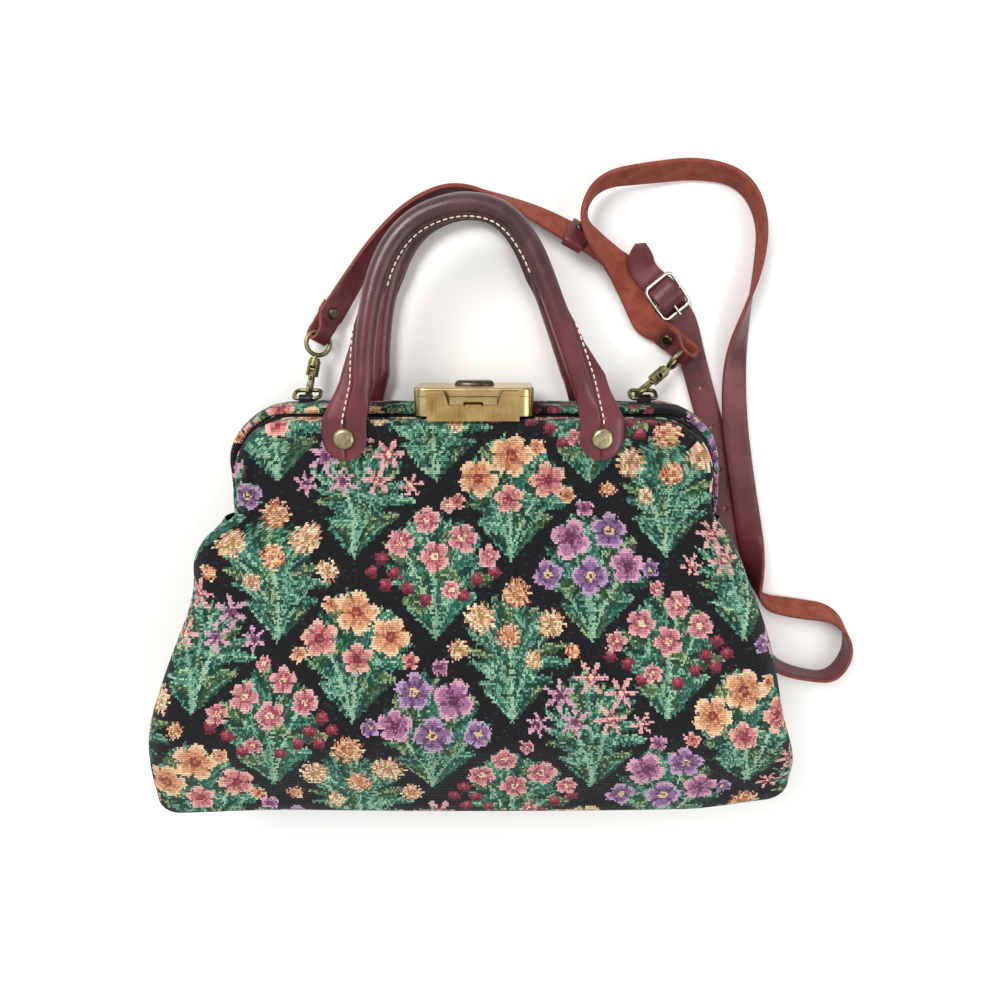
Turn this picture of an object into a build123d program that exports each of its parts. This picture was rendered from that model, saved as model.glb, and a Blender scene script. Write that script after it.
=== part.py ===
from build123d import *
import os
from math import atan2, cos, degrees, hypot, radians, sin, sqrt, tan

# A frame-top tapestry bag lying on its back, millimetres.
# X runs along the clasp frame, Y from the base towards the handles, Z up from the table.
# Y = 0 is the line of the two hinge pins, X = 0 the middle of the frame, Z = 0 the table.

# Cloth body
TOP_HALF_WIDTH = 128.0
BASE_HALF_WIDTH = 165.5
SIDE_CURVE = 1.8
BAG_DROP = 164.0
BACK_RISE = 50.0
BACK_HALF_WIDTH = 130.0
DEPTH_AT_HINGE = 52.0
DEPTH_AT_BASE = 91.0
CROWN_TOP = 1.0
CROWN_BASE = 5.0
SIDE_BULGE = 3.0
BODY_CORNER = 14.0
BASE_ROUNDING = 7.0
BACK_LIFT = 4.4
BACK_LIFT_START = 3.0
BACK_LIFT_END = 26.0
CLOTH = 2.5
LINING_GAP = 0.6
LINING_CLOTH = 1.3
LINING_TOP = 40.0
LINING_FRONT_EDGE = 20.0
LINING_FLAT = 110.0
BASE_SEAM = 9.0
BODY_STATIONS = 7

# Clasp frame: two U-shaped steel angles that close face to face
HINGE_HEIGHT = 33.5
RIM_HALF_WIDTH = 132.5
RIM_TOP = 54.5
RIM_CORNER = 34.0
RIM_PADDING = 5.0
RIM_BACK = 7.2
RIM_FRONT = 33.0
RIM_ROUNDING = 4.0
STEEL = 1.5
FLANGE_WIDTH = 14.0
FRAME_GAP = 0.3
BACK_WEB_LOW = 9.0
BACK_WEB_HIGH = 31.5
FRONT_HALF_WIDTH = 124.0
FRONT_TOP = 48.5
FRONT_CORNER = 29.0
FRONT_LOW = 34.2
FRONT_HIGH = 50.5
FRONT_ROUNDING = 5.0
FRONT_LIP = 13.5
PANEL_TOP_EDGE = 15.0
GUSSET_TOP_EDGE = 10.0
LEG_END = 8.0
EAR_RADIUS = 6.5
HINGE_PIN_RADIUS = 2.0
HINGE_PLAY = 0.05
PIN_HEAD_RADIUS = 3.5
PIN_HEAD = 1.2
BOSS_RADIUS = 3.8
BOSS_END = 125.4

# Push lock on the middle of the frame
LOCK_HALF_LENGTH = 31.0
LOCK_LOW = 12.0
LOCK_HIGH = 43.0
LOCK_BACK = 49.9
LOCK_SEAM_Y = 60.0
LOCK_TOP = 64.5
LOCK_CORNER = 6.0
LOCK_SEAM = 0.2
LOCK_WALL = 1.5
CAVITY_HALF_LENGTH = 13.0
CAVITY_HALF_HEIGHT = 8.0
BUTTON_HALF_LENGTH = 10.4
BUTTON_HALF_WIDTH = 5.2
BUTTON_PLAY = 0.3
BUTTON_RISE = 2.6
BUTTON_TRAVEL = 2.2
BUTTON_FLANGE = 1.6
SPRING_STRIP = 0.5
NOSE_HALF_LENGTH = 12.0
NOSE_HEIGHT = 49.8
NOSE_BACK = 53.0
SLOT_HALF_LENGTH = 5.0
SLOT_BACK = 51.5
SLOT_FRONT = 58.0
PLATE_HALF_LENGTH = 23.3
PLATE_THICKNESS = 1.5
PLATE_TOP = 63.0
PLATE_FRONT = 52.4
NOTCH_HALF_TOP = 14.8
NOTCH_HALF_BOTTOM = 12.2
NOTCH_DEPTH = 6.5
SHELF = 0.9
SHELF_LOW = 36.0
CHEEK_LOW = 43.6
HOOK_HALF_WIDTH = 4.0
HOOK_BACK = 55.0
HOOK_FRONT = 57.0
HOOK_LOW = 40.0

# Handles
HANDLE_RADIUS = 5.8
RIVET_X = 65.0
RIVET_Y = 40.0
TAB_RADIUS = 11.3
TAB_LEATHER = 3.0
BACK_TAB_LEATHER = 2.2
HANDLE_BEND_Y = 50.0
BEND_GAP = 0.15
HINGE_RISE = 0.2
GRIP_START_Y = 68.0
LEG_X = 57.5
LEG_HALF_WIDTH = 7.0
FLANGE_LEATHER = 2.6
FLANGE_REACH = 14.5
FLANGE_TOP_X = 61.5
FLANGE_TOP_Y = 93.0
FLANGE_END_Y = 106.0
FRONT_HANDLE_TILT = -5.0
BACK_HANDLE_TUCK = 4.0
BACK_HANDLE_LOWER = 5.0
BACK_HANDLE_HEIGHT = 6.2
BACK_FOOT_DROP = 2.9
FOOT_HALF_DEPTH = 1.9
BACK_FOOT_HALF_DEPTH = 1.1
MIDDLE_HALF_DEPTH = 4.4
BACK_MIDDLE_HALF_DEPTH = 2.7
RIVET_CAP_RADIUS = 5.5
RIVET_CAP_RISE = 2.4
BACK_CAP_RISE = 1.8
RIVET_POST = 1.8
RIVET_PLAY = 0.2
WASHER_RADIUS = 4.0
WASHER = 1.2

# Strap rings on the frame top
RING_X = 91.0
RING_BAR_Y = 56.8
RING_BAR_Z = 22.0
RING_WIRE = 1.1
RING_HALF_WIDTH = 7.0
RING_REACH = 8.5
RING_DROOP = 65.0
RING_BEND = 2.6
LUG_HALF_WIDTH = 3.4
LUG_RADIUS = 2.2
LUG_CLEAR = 0.3

# Snap hooks
HOOK_WIRE = 1.2
HOOK_BOW = 3.6
BOW_TIP = 1.3
BARREL_START = 7.8
BARREL_END = 16.6
BARREL_RADIUS = 3.3
COLLAR_END = 18.0
COLLAR_RADIUS = 2.6
BARREL_SLOT = 1.35
SWIVEL_STEM = 1.25
SWIVEL_PLAY = 0.05
SWIVEL_HEAD = 1.9
SWIVEL_WIRE = 1.25
SWIVEL_RING = 6.3
SWIVEL_CENTRE = 25.9
GATE_WIDTH = 2.2
GATE_THICKNESS = 1.3
GATE_PIVOT_U = 11.5
GATE_PIVOT_V = 0.8
GATE_EYE = 1.5
GATE_PIN = 0.7
THUMB_KNOB = 1.2
HOOK_PITCH = -10.0
LEFT_HOOK_TURN = 12.0
RIGHT_HOOK_TURN = 50.0
LEFT_EYE_ROLL = 20.0
RIGHT_EYE_ROLL = 62.0

# Shoulder strap
STRAP_WIDTH = 14.0
STRAP_LEATHER = 2.2
BUCKLE_END = 11.4
STRAP_CLEAR = 0.1
STRAP_STEP = 4.0
HOLE_RADIUS = 1.2
HOLE_SPACING = 24.5
HOLE_COUNT = 5
FIRST_HOLE = 71.0
FOLD_LENGTH = 16.0
FOLD_WIDTH = 8.8
FOLD_NECK = 8.0
FOLD_HOLLOW = 1.7
FOLD_OVERLAP = 0.6
STRAP_RIVET_RADIUS = 3.2
STRAP_RIVET_RISE = 1.3
STRAP_RIVET_POST = 1.4

# Buckle and keeper
BUCKLE_X = 104.1
BUCKLE_Y = 110.2
BUCKLE_TURN = -50.8
BUCKLE_TILT = 11.0
BUCKLE_HEIGHT = 6.8
BUCKLE_WIRE = 0.9
BUCKLE_HALF_LENGTH = 10.4
BUCKLE_HALF_WIDTH = 8.4
BUCKLE_CORNER = 3.0
BUCKLE_LOOP = 1.2
TONGUE_WIRE = 0.75
TONGUE_SLOT = 1.6
TONGUE_PLAY = 0.05
KEEPER_LEAN = 138.0
KEEPER_LENGTH = 11.0
KEEPER_LEATHER = 1.6
KEEPER_ROOM = 0.5
KEEPER_RIVET_RADIUS = 3.0
KEEPER_RIVET_SHIFT = 4.0

os.makedirs("parts", exist_ok=True)


def save(shape, node):
    export_step(shape, "parts/" + node + ".step")


def block(x0, x1, y0, y1, z0, z1):
    return Pos((x0 + x1) / 2, (y0 + y1) / 2, (z0 + z1) / 2) * Box(x1 - x0, y1 - y0, z1 - z0)


def rod(radius, start, end):
    axis = Vector(*end) - Vector(*start)
    seat = Plane(origin=start, z_dir=axis)
    return seat * Cylinder(radius, axis.length, align=(Align.CENTER, Align.CENTER, Align.MIN))


def mirrored(shape):
    return mirror(shape, about=Plane.YZ)


# Cloth body: rounded sections stacked along Y, widening from the frame to the base

def drop_share(y):
    return max(0.0, -y / BAG_DROP)


def half_width(y):
    spread = 1 - (1 - drop_share(y)) ** SIDE_CURVE
    return TOP_HALF_WIDTH + (BASE_HALF_WIDTH - TOP_HALF_WIDTH) * spread


def front_height(y):
    return DEPTH_AT_HINGE + (DEPTH_AT_BASE - DEPTH_AT_HINGE) * drop_share(y)




def body_section(y, inset):
    w = half_width(y) - inset
    low = inset
    high = front_height(y) - inset
    crown = CROWN_TOP + (CROWN_BASE - CROWN_TOP) * drop_share(y)
    r = BODY_CORNER - inset
    k = r * (1 - 1 / sqrt(2))
    mid = (low + high) / 2
    edges = [
        Line((-w + r, low), (w - r, low)),
        ThreePointArc((w - r, low), (w - k, low + k), (w, low + r)),
        ThreePointArc((w, low + r), (w + SIDE_BULGE, mid), (w, high - r)),
        ThreePointArc((w, high - r), (w - k, high - k), (w - r, high)),
        ThreePointArc((w - r, high), (0, high + crown), (-w + r, high)),
        ThreePointArc((-w + r, high), (-w + k, high - k), (-w, high - r)),
        ThreePointArc((-w, high - r), (-w - SIDE_BULGE, mid), (-w, low + r)),
        ThreePointArc((-w, low + r), (-w + k, low + k), (-w + r, low)),
    ]
    face = make_face(edges)
    return Plane(origin=(0, y, 0), x_dir=(1, 0, 0), z_dir=(0, -1, 0)) * face


def body_solid(inset):
    y_low = -BAG_DROP + inset
    step = (BACK_RISE - y_low) / (BODY_STATIONS - 1)
    solid = loft([body_section(y_low + i * step, inset) for i in range(BODY_STATIONS)])
    return fillet(solid.edges().group_by(Axis.Y)[0], BASE_ROUNDING - inset / 2)


def side_prism(points, half_length):
    face = make_face(Polyline(*points, close=True))
    return extrude(Plane.YZ * face, half_length, both=True)


FAR = 400.0
cloth_shell = body_solid(0) - body_solid(CLOTH)
seam_y = -BAG_DROP + BASE_SEAM
base_panel = cloth_shell & block(-FAR, FAR, -FAR, seam_y, -FAR, FAR)
save(base_panel, "base_panel")

side_seam_low = BODY_CORNER
hinge_seam_high = DEPTH_AT_HINGE - BODY_CORNER
base_seam_high = DEPTH_AT_BASE - BODY_CORNER
gusset_zone = side_prism(
    [
        (-GUSSET_TOP_EDGE, side_seam_low),
        (-GUSSET_TOP_EDGE, hinge_seam_high),
        (0, hinge_seam_high),
        (-BAG_DROP, base_seam_high),
        (-BAG_DROP, side_seam_low),
    ],
    FAR,
)
above_base = block(-FAR, FAR, seam_y, FAR, -FAR, FAR)
gussets = cloth_shell & gusset_zone & above_base
left_gusset = gussets & block(-FAR, 0, -FAR, -GUSSET_TOP_EDGE, 0, FAR)
right_gusset = gussets & block(0, FAR, -FAR, -GUSSET_TOP_EDGE, 0, FAR)
save(left_gusset, "left_gusset")
save(right_gusset, "right_gusset")

front_zone = side_prism(
    [(0, hinge_seam_high), (-BAG_DROP, base_seam_high), (-BAG_DROP, FAR), (0, FAR)],
    FAR,
)
front_panel = cloth_shell & front_zone & block(-FAR, FAR, seam_y, -PANEL_TOP_EDGE, 0, FAR)
save(front_panel, "front_panel")


# U outlines shared by the frame, its cloth and its padding

def arch_face(half, top, corner, low):
    outline = FilletPolyline(
        (-half, low),
        (-half, top),
        (half, top),
        (half, low),
        radius=[corner, corner],
    )
    return make_face([outline, Line((half, low), (-half, low))])


def arch_block(half, top, corner, low, z0, z1):
    return extrude(Pos(0, 0, z0) * arch_face(half, top, corner, low), z1 - z0)


def arch_band(half, top, corner, thickness, z0, z1):
    outside = arch_block(half, top, corner, -LEG_END, z0, z1)
    inner_corner = corner - thickness
    inside = arch_block(half - thickness, top - thickness, inner_corner, -FAR / 4, z0, z1)
    return outside - inside


def back_sheet(start, shift, thickness):
    return side_prism(
        [
            (start, shift),
            (BACK_LIFT_START, shift),
            (BACK_LIFT_END, BACK_LIFT + shift),
            (FAR, BACK_LIFT + shift),
            (FAR, BACK_LIFT + shift + thickness),
            (BACK_LIFT_END, BACK_LIFT + shift + thickness),
            (BACK_LIFT_START, shift + thickness),
            (start, shift + thickness),
        ],
        FAR,
    )


back_flat = back_sheet(-LEG_END, 0, CLOTH)
back_flat = back_flat & arch_block(BACK_HALF_WIDTH, BACK_RISE, RIM_CORNER, -LEG_END, -FAR / 4, FAR / 4)
back_lower = cloth_shell & block(-FAR, FAR, seam_y, -LEG_END, -FAR, side_seam_low)
back_panel = back_lower + back_flat

lining_shell = body_solid(CLOTH + LINING_GAP) - body_solid(CLOTH + LINING_GAP + LINING_CLOTH)
lining_bag = lining_shell & block(-FAR, FAR, -FAR, -LINING_FRONT_EDGE, -FAR, FAR)
lining_back = back_sheet(-LINING_FRONT_EDGE, CLOTH + LINING_GAP, LINING_CLOTH)
lining_back = lining_back & block(
    -LINING_FLAT, LINING_FLAT, -LINING_FRONT_EDGE, LINING_TOP, 0, FAR
)
lining = lining_bag + lining_back

# Rear frame half: an angle with an upright web, an inward flange and two hinge ears
back_half = RIM_HALF_WIDTH - RIM_PADDING - FRAME_GAP
back_top = RIM_TOP - RIM_PADDING - FRAME_GAP
back_corner = RIM_CORNER - RIM_PADDING
back_web = arch_band(back_half, back_top, back_corner, STEEL, BACK_WEB_LOW, BACK_WEB_HIGH)
back_flange = arch_band(
    back_half, back_top, back_corner, FLANGE_WIDTH, BACK_WEB_LOW, BACK_WEB_LOW + STEEL
)
back_ear = rod(EAR_RADIUS, (back_half - STEEL, 0, HINGE_HEIGHT), (back_half, 0, HINGE_HEIGHT))
back_frame = back_web + back_flange + back_ear + mirrored(back_ear)
hinge_bore = rod(HINGE_PIN_RADIUS + HINGE_PLAY, (-FAR, 0, HINGE_HEIGHT), (FAR, 0, HINGE_HEIGHT))
back_frame = back_frame - hinge_bore

# Front frame half, closing on the rear one
front_skin = CLOTH
front_half = FRONT_HALF_WIDTH - front_skin - FRAME_GAP
front_top = FRONT_TOP - front_skin - FRAME_GAP
front_corner = FRONT_CORNER - front_skin
front_web_high = FRONT_HIGH - front_skin - FRAME_GAP
front_web_low = FRONT_LOW + 1
front_web = arch_band(front_half, front_top, front_corner, STEEL, front_web_low, front_web_high)
front_flange = arch_band(
    front_half, front_top, front_corner, FLANGE_WIDTH, front_web_high - STEEL, front_web_high
)
ear_low = front_half - STEEL
front_ear = rod(EAR_RADIUS, (ear_low, 0, HINGE_HEIGHT), (front_half, 0, HINGE_HEIGHT))
front_boss = rod(BOSS_RADIUS, (ear_low, 0, HINGE_HEIGHT), (BOSS_END, 0, HINGE_HEIGHT))
front_frame = front_web + front_flange
front_frame = front_frame + front_ear + mirrored(front_ear) + front_boss + mirrored(front_boss)
front_frame = front_frame - hinge_bore

# Hinge pins, headed at both ends
pin_inner = ear_low - FRAME_GAP
pin_outer = back_half + FRAME_GAP
right_pin = rod(HINGE_PIN_RADIUS, (pin_inner, 0, HINGE_HEIGHT), (pin_outer, 0, HINGE_HEIGHT))
inner_end = (pin_inner - PIN_HEAD, 0, HINGE_HEIGHT)
outer_end = (pin_outer + PIN_HEAD, 0, HINGE_HEIGHT)
right_pin = right_pin + rod(PIN_HEAD_RADIUS, inner_end, (pin_inner, 0, HINGE_HEIGHT))
right_pin = right_pin + rod(PIN_HEAD_RADIUS, (pin_outer, 0, HINGE_HEIGHT), outer_end)
save(right_pin, "hinge_pin_right")
save(mirrored(right_pin), "hinge_pin_left")

# Cloth of the front frame half, folded over the front angle
front_cover = arch_block(
    FRONT_HALF_WIDTH, FRONT_TOP, FRONT_CORNER, -FRONT_LIP, FRONT_LOW, FRONT_HIGH
)
top_edges = front_cover.faces().sort_by(Axis.Z)[-1].edges()
top_edges = [e for e in top_edges if e.center().Y > -FRONT_LIP + 0.1]
front_cover = fillet(top_edges, FRONT_ROUNDING)
front_hollow = arch_block(
    FRONT_HALF_WIDTH - front_skin,
    FRONT_TOP - front_skin,
    FRONT_CORNER - front_skin,
    -FAR / 4,
    FRONT_LOW - 1,
    FRONT_HIGH - front_skin,
)
boss_clear = rod(BOSS_RADIUS + FRAME_GAP, (-FAR, 0, HINGE_HEIGHT), (FAR, 0, HINGE_HEIGHT))
front_panel_top = front_cover - front_hollow - boss_clear

# Padded cloth tube over the rear frame half, open where the lock stands
rim_cover = arch_band(RIM_HALF_WIDTH, RIM_TOP, RIM_CORNER, RIM_PADDING, RIM_BACK, RIM_FRONT)
rim_outline = [
    e
    for e in rim_cover.edges()
    if abs(e.center().Z - RIM_FRONT) < 0.01 or abs(e.center().Z - RIM_BACK) < 0.01
]
outer_band = arch_block(
    RIM_HALF_WIDTH - 0.1, RIM_TOP - 0.1, RIM_CORNER - 0.1, -LEG_END - 1, 0, FAR / 4
)
outer_edges = [
    e
    for e in rim_outline
    if e.center().Y > -LEG_END + 0.1 and not outer_band.is_inside(e @ 0.5)
]
rim_cover = fillet(outer_edges, RIM_ROUNDING)
pocket_end = pin_outer + PIN_HEAD + FRAME_GAP
pin_pocket = rod(PIN_HEAD_RADIUS + FRAME_GAP, (0, 0, HINGE_HEIGHT), (pocket_end, 0, HINGE_HEIGHT))
lock_window = block(
    -LOCK_HALF_LENGTH - LOCK_SEAM, LOCK_HALF_LENGTH + LOCK_SEAM, 0, FAR, LOCK_LOW - LOCK_SEAM, FAR
)
rim_cover = rim_cover - pin_pocket - mirrored(pin_pocket) - lock_window

# Rear lock case, open at the top under its cap, with a nose that takes the hook
lock_mid = (LOCK_LOW + LOCK_HIGH) / 2
lock_case = block(
    -LOCK_HALF_LENGTH, LOCK_HALF_LENGTH, LOCK_BACK, LOCK_SEAM_Y, LOCK_LOW, LOCK_HIGH
)
case_edges = lock_case.edges().filter_by(Axis.Y)
lock_case = fillet(case_edges, LOCK_CORNER)
cavity_floor = LOCK_BACK + LOCK_WALL
lock_cavity = block(
    -CAVITY_HALF_LENGTH,
    CAVITY_HALF_LENGTH,
    cavity_floor,
    FAR,
    lock_mid - CAVITY_HALF_HEIGHT,
    lock_mid + CAVITY_HALF_HEIGHT,
)
nose = block(
    -NOSE_HALF_LENGTH, NOSE_HALF_LENGTH, NOSE_BACK, LOCK_SEAM_Y, LOCK_HIGH - 1, NOSE_HEIGHT
)
nose = chamfer(nose.edges().group_by(Axis.Z)[-1].sort_by(Axis.Y)[-1], 3.0)
hook_slot = block(
    -SLOT_HALF_LENGTH, SLOT_HALF_LENGTH, SLOT_BACK, SLOT_FRONT, HOOK_LOW - 1, FAR
)
lock_body = lock_case + nose - lock_cavity - hook_slot
save(lock_body, "lock_body")

cap_low = LOCK_SEAM_Y + LOCK_SEAM
cap = block(-LOCK_HALF_LENGTH, LOCK_HALF_LENGTH, cap_low, LOCK_TOP, LOCK_LOW, LOCK_HIGH)
cap = fillet(cap.edges().filter_by(Axis.Y), LOCK_CORNER)
cap = fillet(cap.faces().sort_by(Axis.Y)[-1].edges(), 1.2)


def oval_rod(half_length, half_width, y0, y1):
    face = Plane(origin=(0, y0, lock_mid), x_dir=(1, 0, 0), z_dir=(0, 1, 0)) * Ellipse(
        half_length, half_width
    )
    return extrude(face, y1 - y0)


cap = cap - oval_rod(
    BUTTON_HALF_LENGTH + BUTTON_PLAY, BUTTON_HALF_WIDTH + BUTTON_PLAY, cap_low - 1, LOCK_TOP + 1
)
save(cap, "lock_cap")

# Oval push button with a retaining flange, sprung by a bowed leaf
button = oval_rod(BUTTON_HALF_LENGTH, BUTTON_HALF_WIDTH, cap_low - 1, LOCK_TOP + BUTTON_RISE)
button = fillet(button.faces().sort_by(Axis.Y)[-1].edges(), BUTTON_RISE - 0.3)
button = button + oval_rod(
    BUTTON_HALF_LENGTH + BUTTON_FLANGE,
    BUTTON_HALF_WIDTH + BUTTON_FLANGE,
    cap_low - 2,
    cap_low - LOCK_SEAM,
)
save(button, "lock_button")
leaf_top = cap_low - 2 - BUTTON_TRAVEL - 1
leaf_face = Plane.XY * trace(
    ThreePointArc((-11, cavity_floor + 0.5), (0, leaf_top), (11, cavity_floor + 0.5)), SPRING_STRIP
)
lock_spring = extrude(Pos(0, 0, lock_mid - 3) * leaf_face, 6)
save(lock_spring, "lock_spring")

# Front lock plate with its notch, hook and side cheeks
plate_low = PLATE_FRONT - PLATE_THICKNESS
shelf_back = FRONT_TOP + LOCK_SEAM
plate = block(-PLATE_HALF_LENGTH, PLATE_HALF_LENGTH, shelf_back, PLATE_TOP, plate_low, PLATE_FRONT)
notch_face = make_face(
    Polyline(
        (-NOTCH_HALF_TOP, PLATE_TOP + 1),
        (-NOTCH_HALF_BOTTOM, PLATE_TOP - NOTCH_DEPTH),
        (NOTCH_HALF_BOTTOM, PLATE_TOP - NOTCH_DEPTH),
        (NOTCH_HALF_TOP, PLATE_TOP + 1),
        close=True,
    )
)
notch = extrude(Pos(0, 0, plate_low - 1) * notch_face, PLATE_THICKNESS + 2)
shelf = block(
    -PLATE_HALF_LENGTH, PLATE_HALF_LENGTH, shelf_back, shelf_back + SHELF, SHELF_LOW, PLATE_FRONT
)
cheek = block(
    PLATE_HALF_LENGTH - PLATE_THICKNESS,
    PLATE_HALF_LENGTH,
    shelf_back,
    PLATE_TOP,
    CHEEK_LOW,
    PLATE_FRONT,
)
lip = block(
    NOTCH_HALF_TOP + 0.4,
    PLATE_HALF_LENGTH,
    PLATE_TOP - PLATE_THICKNESS,
    PLATE_TOP,
    CHEEK_LOW + 1,
    PLATE_FRONT,
)
strike = block(-HOOK_HALF_WIDTH, HOOK_HALF_WIDTH, HOOK_BACK, HOOK_FRONT, HOOK_LOW, PLATE_FRONT)
lock_plate = plate - notch + shelf + cheek + mirrored(cheek) + lip + mirrored(lip) + strike
save(lock_plate, "lock_front_plate")

# Handle tabs, each folded from the end of its handle, with its rivets and washers

def handle_tab(z0, z1):
    disc = Pos(RIVET_X, RIVET_Y, z0) * Cylinder(
        TAB_RADIUS, z1 - z0, align=(Align.CENTER, Align.CENTER, Align.MIN)
    )
    bend = HANDLE_BEND_Y - BEND_GAP
    strip = block(RIVET_X - TAB_RADIUS, RIVET_X + TAB_RADIUS, RIVET_Y, bend, z0, z1)
    bore = Pos(RIVET_X, RIVET_Y, z0) * Cylinder(RIVET_POST + RIVET_PLAY, 2 * FAR)
    tab = disc + strip - bore - block(0, FAR, bend, FAR, -FAR, FAR)
    return tab + mirrored(tab)


tab_low = FRONT_HIGH
tab_high = FRONT_HIGH + TAB_LEATHER
front_tabs = handle_tab(tab_low, tab_high)
front_tabs = front_tabs - block(
    -PLATE_HALF_LENGTH, PLATE_HALF_LENGTH, shelf_back, FAR, 0, FAR
)
save(front_tabs, "front_handle_tabs")
back_tab_high = BACK_LIFT
back_tab_low = BACK_LIFT - BACK_TAB_LEATHER
back_tabs = handle_tab(back_tab_low, back_tab_high)
save(back_tabs, "back_handle_tabs")

rivet_bore = Pos(RIVET_X, RIVET_Y, 0) * Cylinder(RIVET_POST + RIVET_PLAY, FAR)
rivet_bores = rivet_bore + mirrored(rivet_bore)
front_panel_top = front_panel_top - rivet_bores
save(front_panel_top, "front_panel_top")
back_panel = back_panel - rivet_bores
save(back_panel, "back_panel")
save(lining - rivet_bores, "lining")
front_frame = front_frame - rivet_bores
save(front_frame, "front_frame")


def rivet(base, rise, end, outward):
    cap_shape = Pos(0, 0, 0) * Cylinder(
        RIVET_CAP_RADIUS, rise, align=(Align.CENTER, Align.CENTER, Align.MIN)
    )
    cap_shape = fillet(cap_shape.faces().sort_by(Axis.Z)[-1].edges(), rise * 0.9)
    post = Pos(0, 0, -end) * Cylinder(RIVET_POST, end, align=(Align.CENTER, Align.CENTER, Align.MIN))
    shape = cap_shape + post
    if outward < 0:
        shape = mirror(shape, about=Plane.XY)
    return Pos(RIVET_X, RIVET_Y, base) * shape


washer_high = front_web_high - STEEL - LOCK_SEAM
washer_low = washer_high - WASHER
right_front_rivet = rivet(tab_high, RIVET_CAP_RISE, tab_high - washer_low + 0.5, 1)
save(right_front_rivet, "front_rivet_right")
save(mirrored(right_front_rivet), "front_rivet_left")
back_panel_inside = BACK_LIFT + CLOTH
back_post = back_panel_inside + LINING_GAP + LINING_CLOTH + 4 - back_tab_low
right_back_rivet = rivet(back_tab_low, BACK_CAP_RISE, back_post, -1)
save(right_back_rivet, "back_rivet_right")
save(mirrored(right_back_rivet), "back_rivet_left")


def washer(z0):
    ring = Pos(RIVET_X, RIVET_Y, z0) * Cylinder(
        WASHER_RADIUS, WASHER, align=(Align.CENTER, Align.CENTER, Align.MIN)
    )
    return ring - rivet_bore


front_washer = washer(washer_low)
save(front_washer, "front_washer_right")
save(mirrored(front_washer), "front_washer_left")
back_washer_low = BACK_WEB_LOW + STEEL + 0.1
back_washer = washer(back_washer_low)
save(back_washer, "back_washer_right")
save(mirrored(back_washer), "back_washer_left")
back_frame = back_frame - rivet_bores

# Handle grips: a padded tube that flattens into a strip at each end
GRIP_PATH = [
    (-LEG_X + 3.6, GRIP_START_Y),
    (-53.0, 99.0),
    (-38.0, 141.0),
    (-5.0, 155.5),
    (24.0, 146.0),
    (43.5, 97.0),
    (LEG_X - 3.8, GRIP_START_Y),
]


def corner_radii(points):
    radii = []
    for before, here, after in zip(points, points[1:], points[2:]):
        a = Vector(*here) - Vector(*before)
        b = Vector(*after) - Vector(*here)
        turn = radians(a.get_angle(b))
        radii.append(0.45 * min(a.length, b.length) / tan(turn / 2))
    return radii


def grip(tuck, lower, foot_drop, foot_depth, middle_depth):
    shift = [(x - tuck * (1 if x > 0 else -1) * min(1, abs(x) / 30), y) for x, y in GRIP_PATH]
    points = [(x, y - lower * max(0, (y - GRIP_START_Y) / 90), 0) for x, y in shift]
    path = FilletPolyline(*points, radius=corner_radii(points))
    shape = sweep(Plane(origin=path @ 0, z_dir=path % 0) * Circle(HANDLE_RADIUS), path=path)
    foot_y = HANDLE_BEND_Y + BEND_GAP
    for start, side in ((0, -1), (1, 1)):
        end_point = path @ start
        end_way = path % start * (1 if start == 0 else -1)
        foot_x = side * (LEG_X - tuck / 2)
        grip_end = Plane(origin=end_point, x_dir=(1, 0, 0), z_dir=end_way)
        foot = Plane(origin=(foot_x, foot_y, -foot_drop), x_dir=(1, 0, 0), z_dir=(0, 1, 0))
        middle_origin = (foot.origin + end_point) / 2
        middle = Plane(origin=middle_origin, x_dir=(1, 0, 0), z_dir=end_way)
        leg = loft(
            [
                foot * Ellipse(LEG_HALF_WIDTH, foot_depth),
                middle * Ellipse(LEG_HALF_WIDTH, middle_depth),
                grip_end * Circle(HANDLE_RADIUS),
            ]
        )
        outline = Polyline(
            (foot_x, foot_y),
            (foot_x + side * FLANGE_REACH, foot_y),
            (side * FLANGE_TOP_X, FLANGE_TOP_Y),
            (side * (LEG_X - 1.5 - tuck), FLANGE_END_Y),
            (side * (LEG_X - 6 - tuck), FLANGE_TOP_Y),
            close=True,
        )
        leather = min(FLANGE_LEATHER, 2 * foot_depth)
        wing = extrude(Pos(0, 0, -foot_drop - leather / 2) * make_face(outline), leather)
        shape = shape + leg + wing
    return shape - block(-FAR, FAR, -FAR, foot_y, -FAR, FAR)


def tilted(shape, y, z, angle):
    turn = Axis((0, y, z), (1, 0, 0))
    return (Pos(0, 0, z) * shape).rotate(turn, angle)


front_bend_z = tab_low + TAB_LEATHER / 2 + 1.2
front_foot_drop = front_bend_z + FOOT_HALF_DEPTH - tab_high - HINGE_RISE
front_grip = grip(0, 0, front_foot_drop, FOOT_HALF_DEPTH, MIDDLE_HALF_DEPTH)
front_handle = tilted(front_grip, HANDLE_BEND_Y, front_bend_z, FRONT_HANDLE_TILT)
front_handle = front_handle - block(-FAR, FAR, -FAR, HANDLE_BEND_Y + BEND_GAP, -FAR, FAR)
save(front_handle, "front_handle")
back_grip = grip(
    BACK_HANDLE_TUCK,
    BACK_HANDLE_LOWER,
    BACK_FOOT_DROP,
    BACK_FOOT_HALF_DEPTH,
    BACK_MIDDLE_HALF_DEPTH,
)
back_handle = Pos(0, 0, BACK_HANDLE_HEIGHT) * back_grip
save(back_handle, "back_handle")

# Strap lugs on the rear frame, and the rings that swing in them

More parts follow.
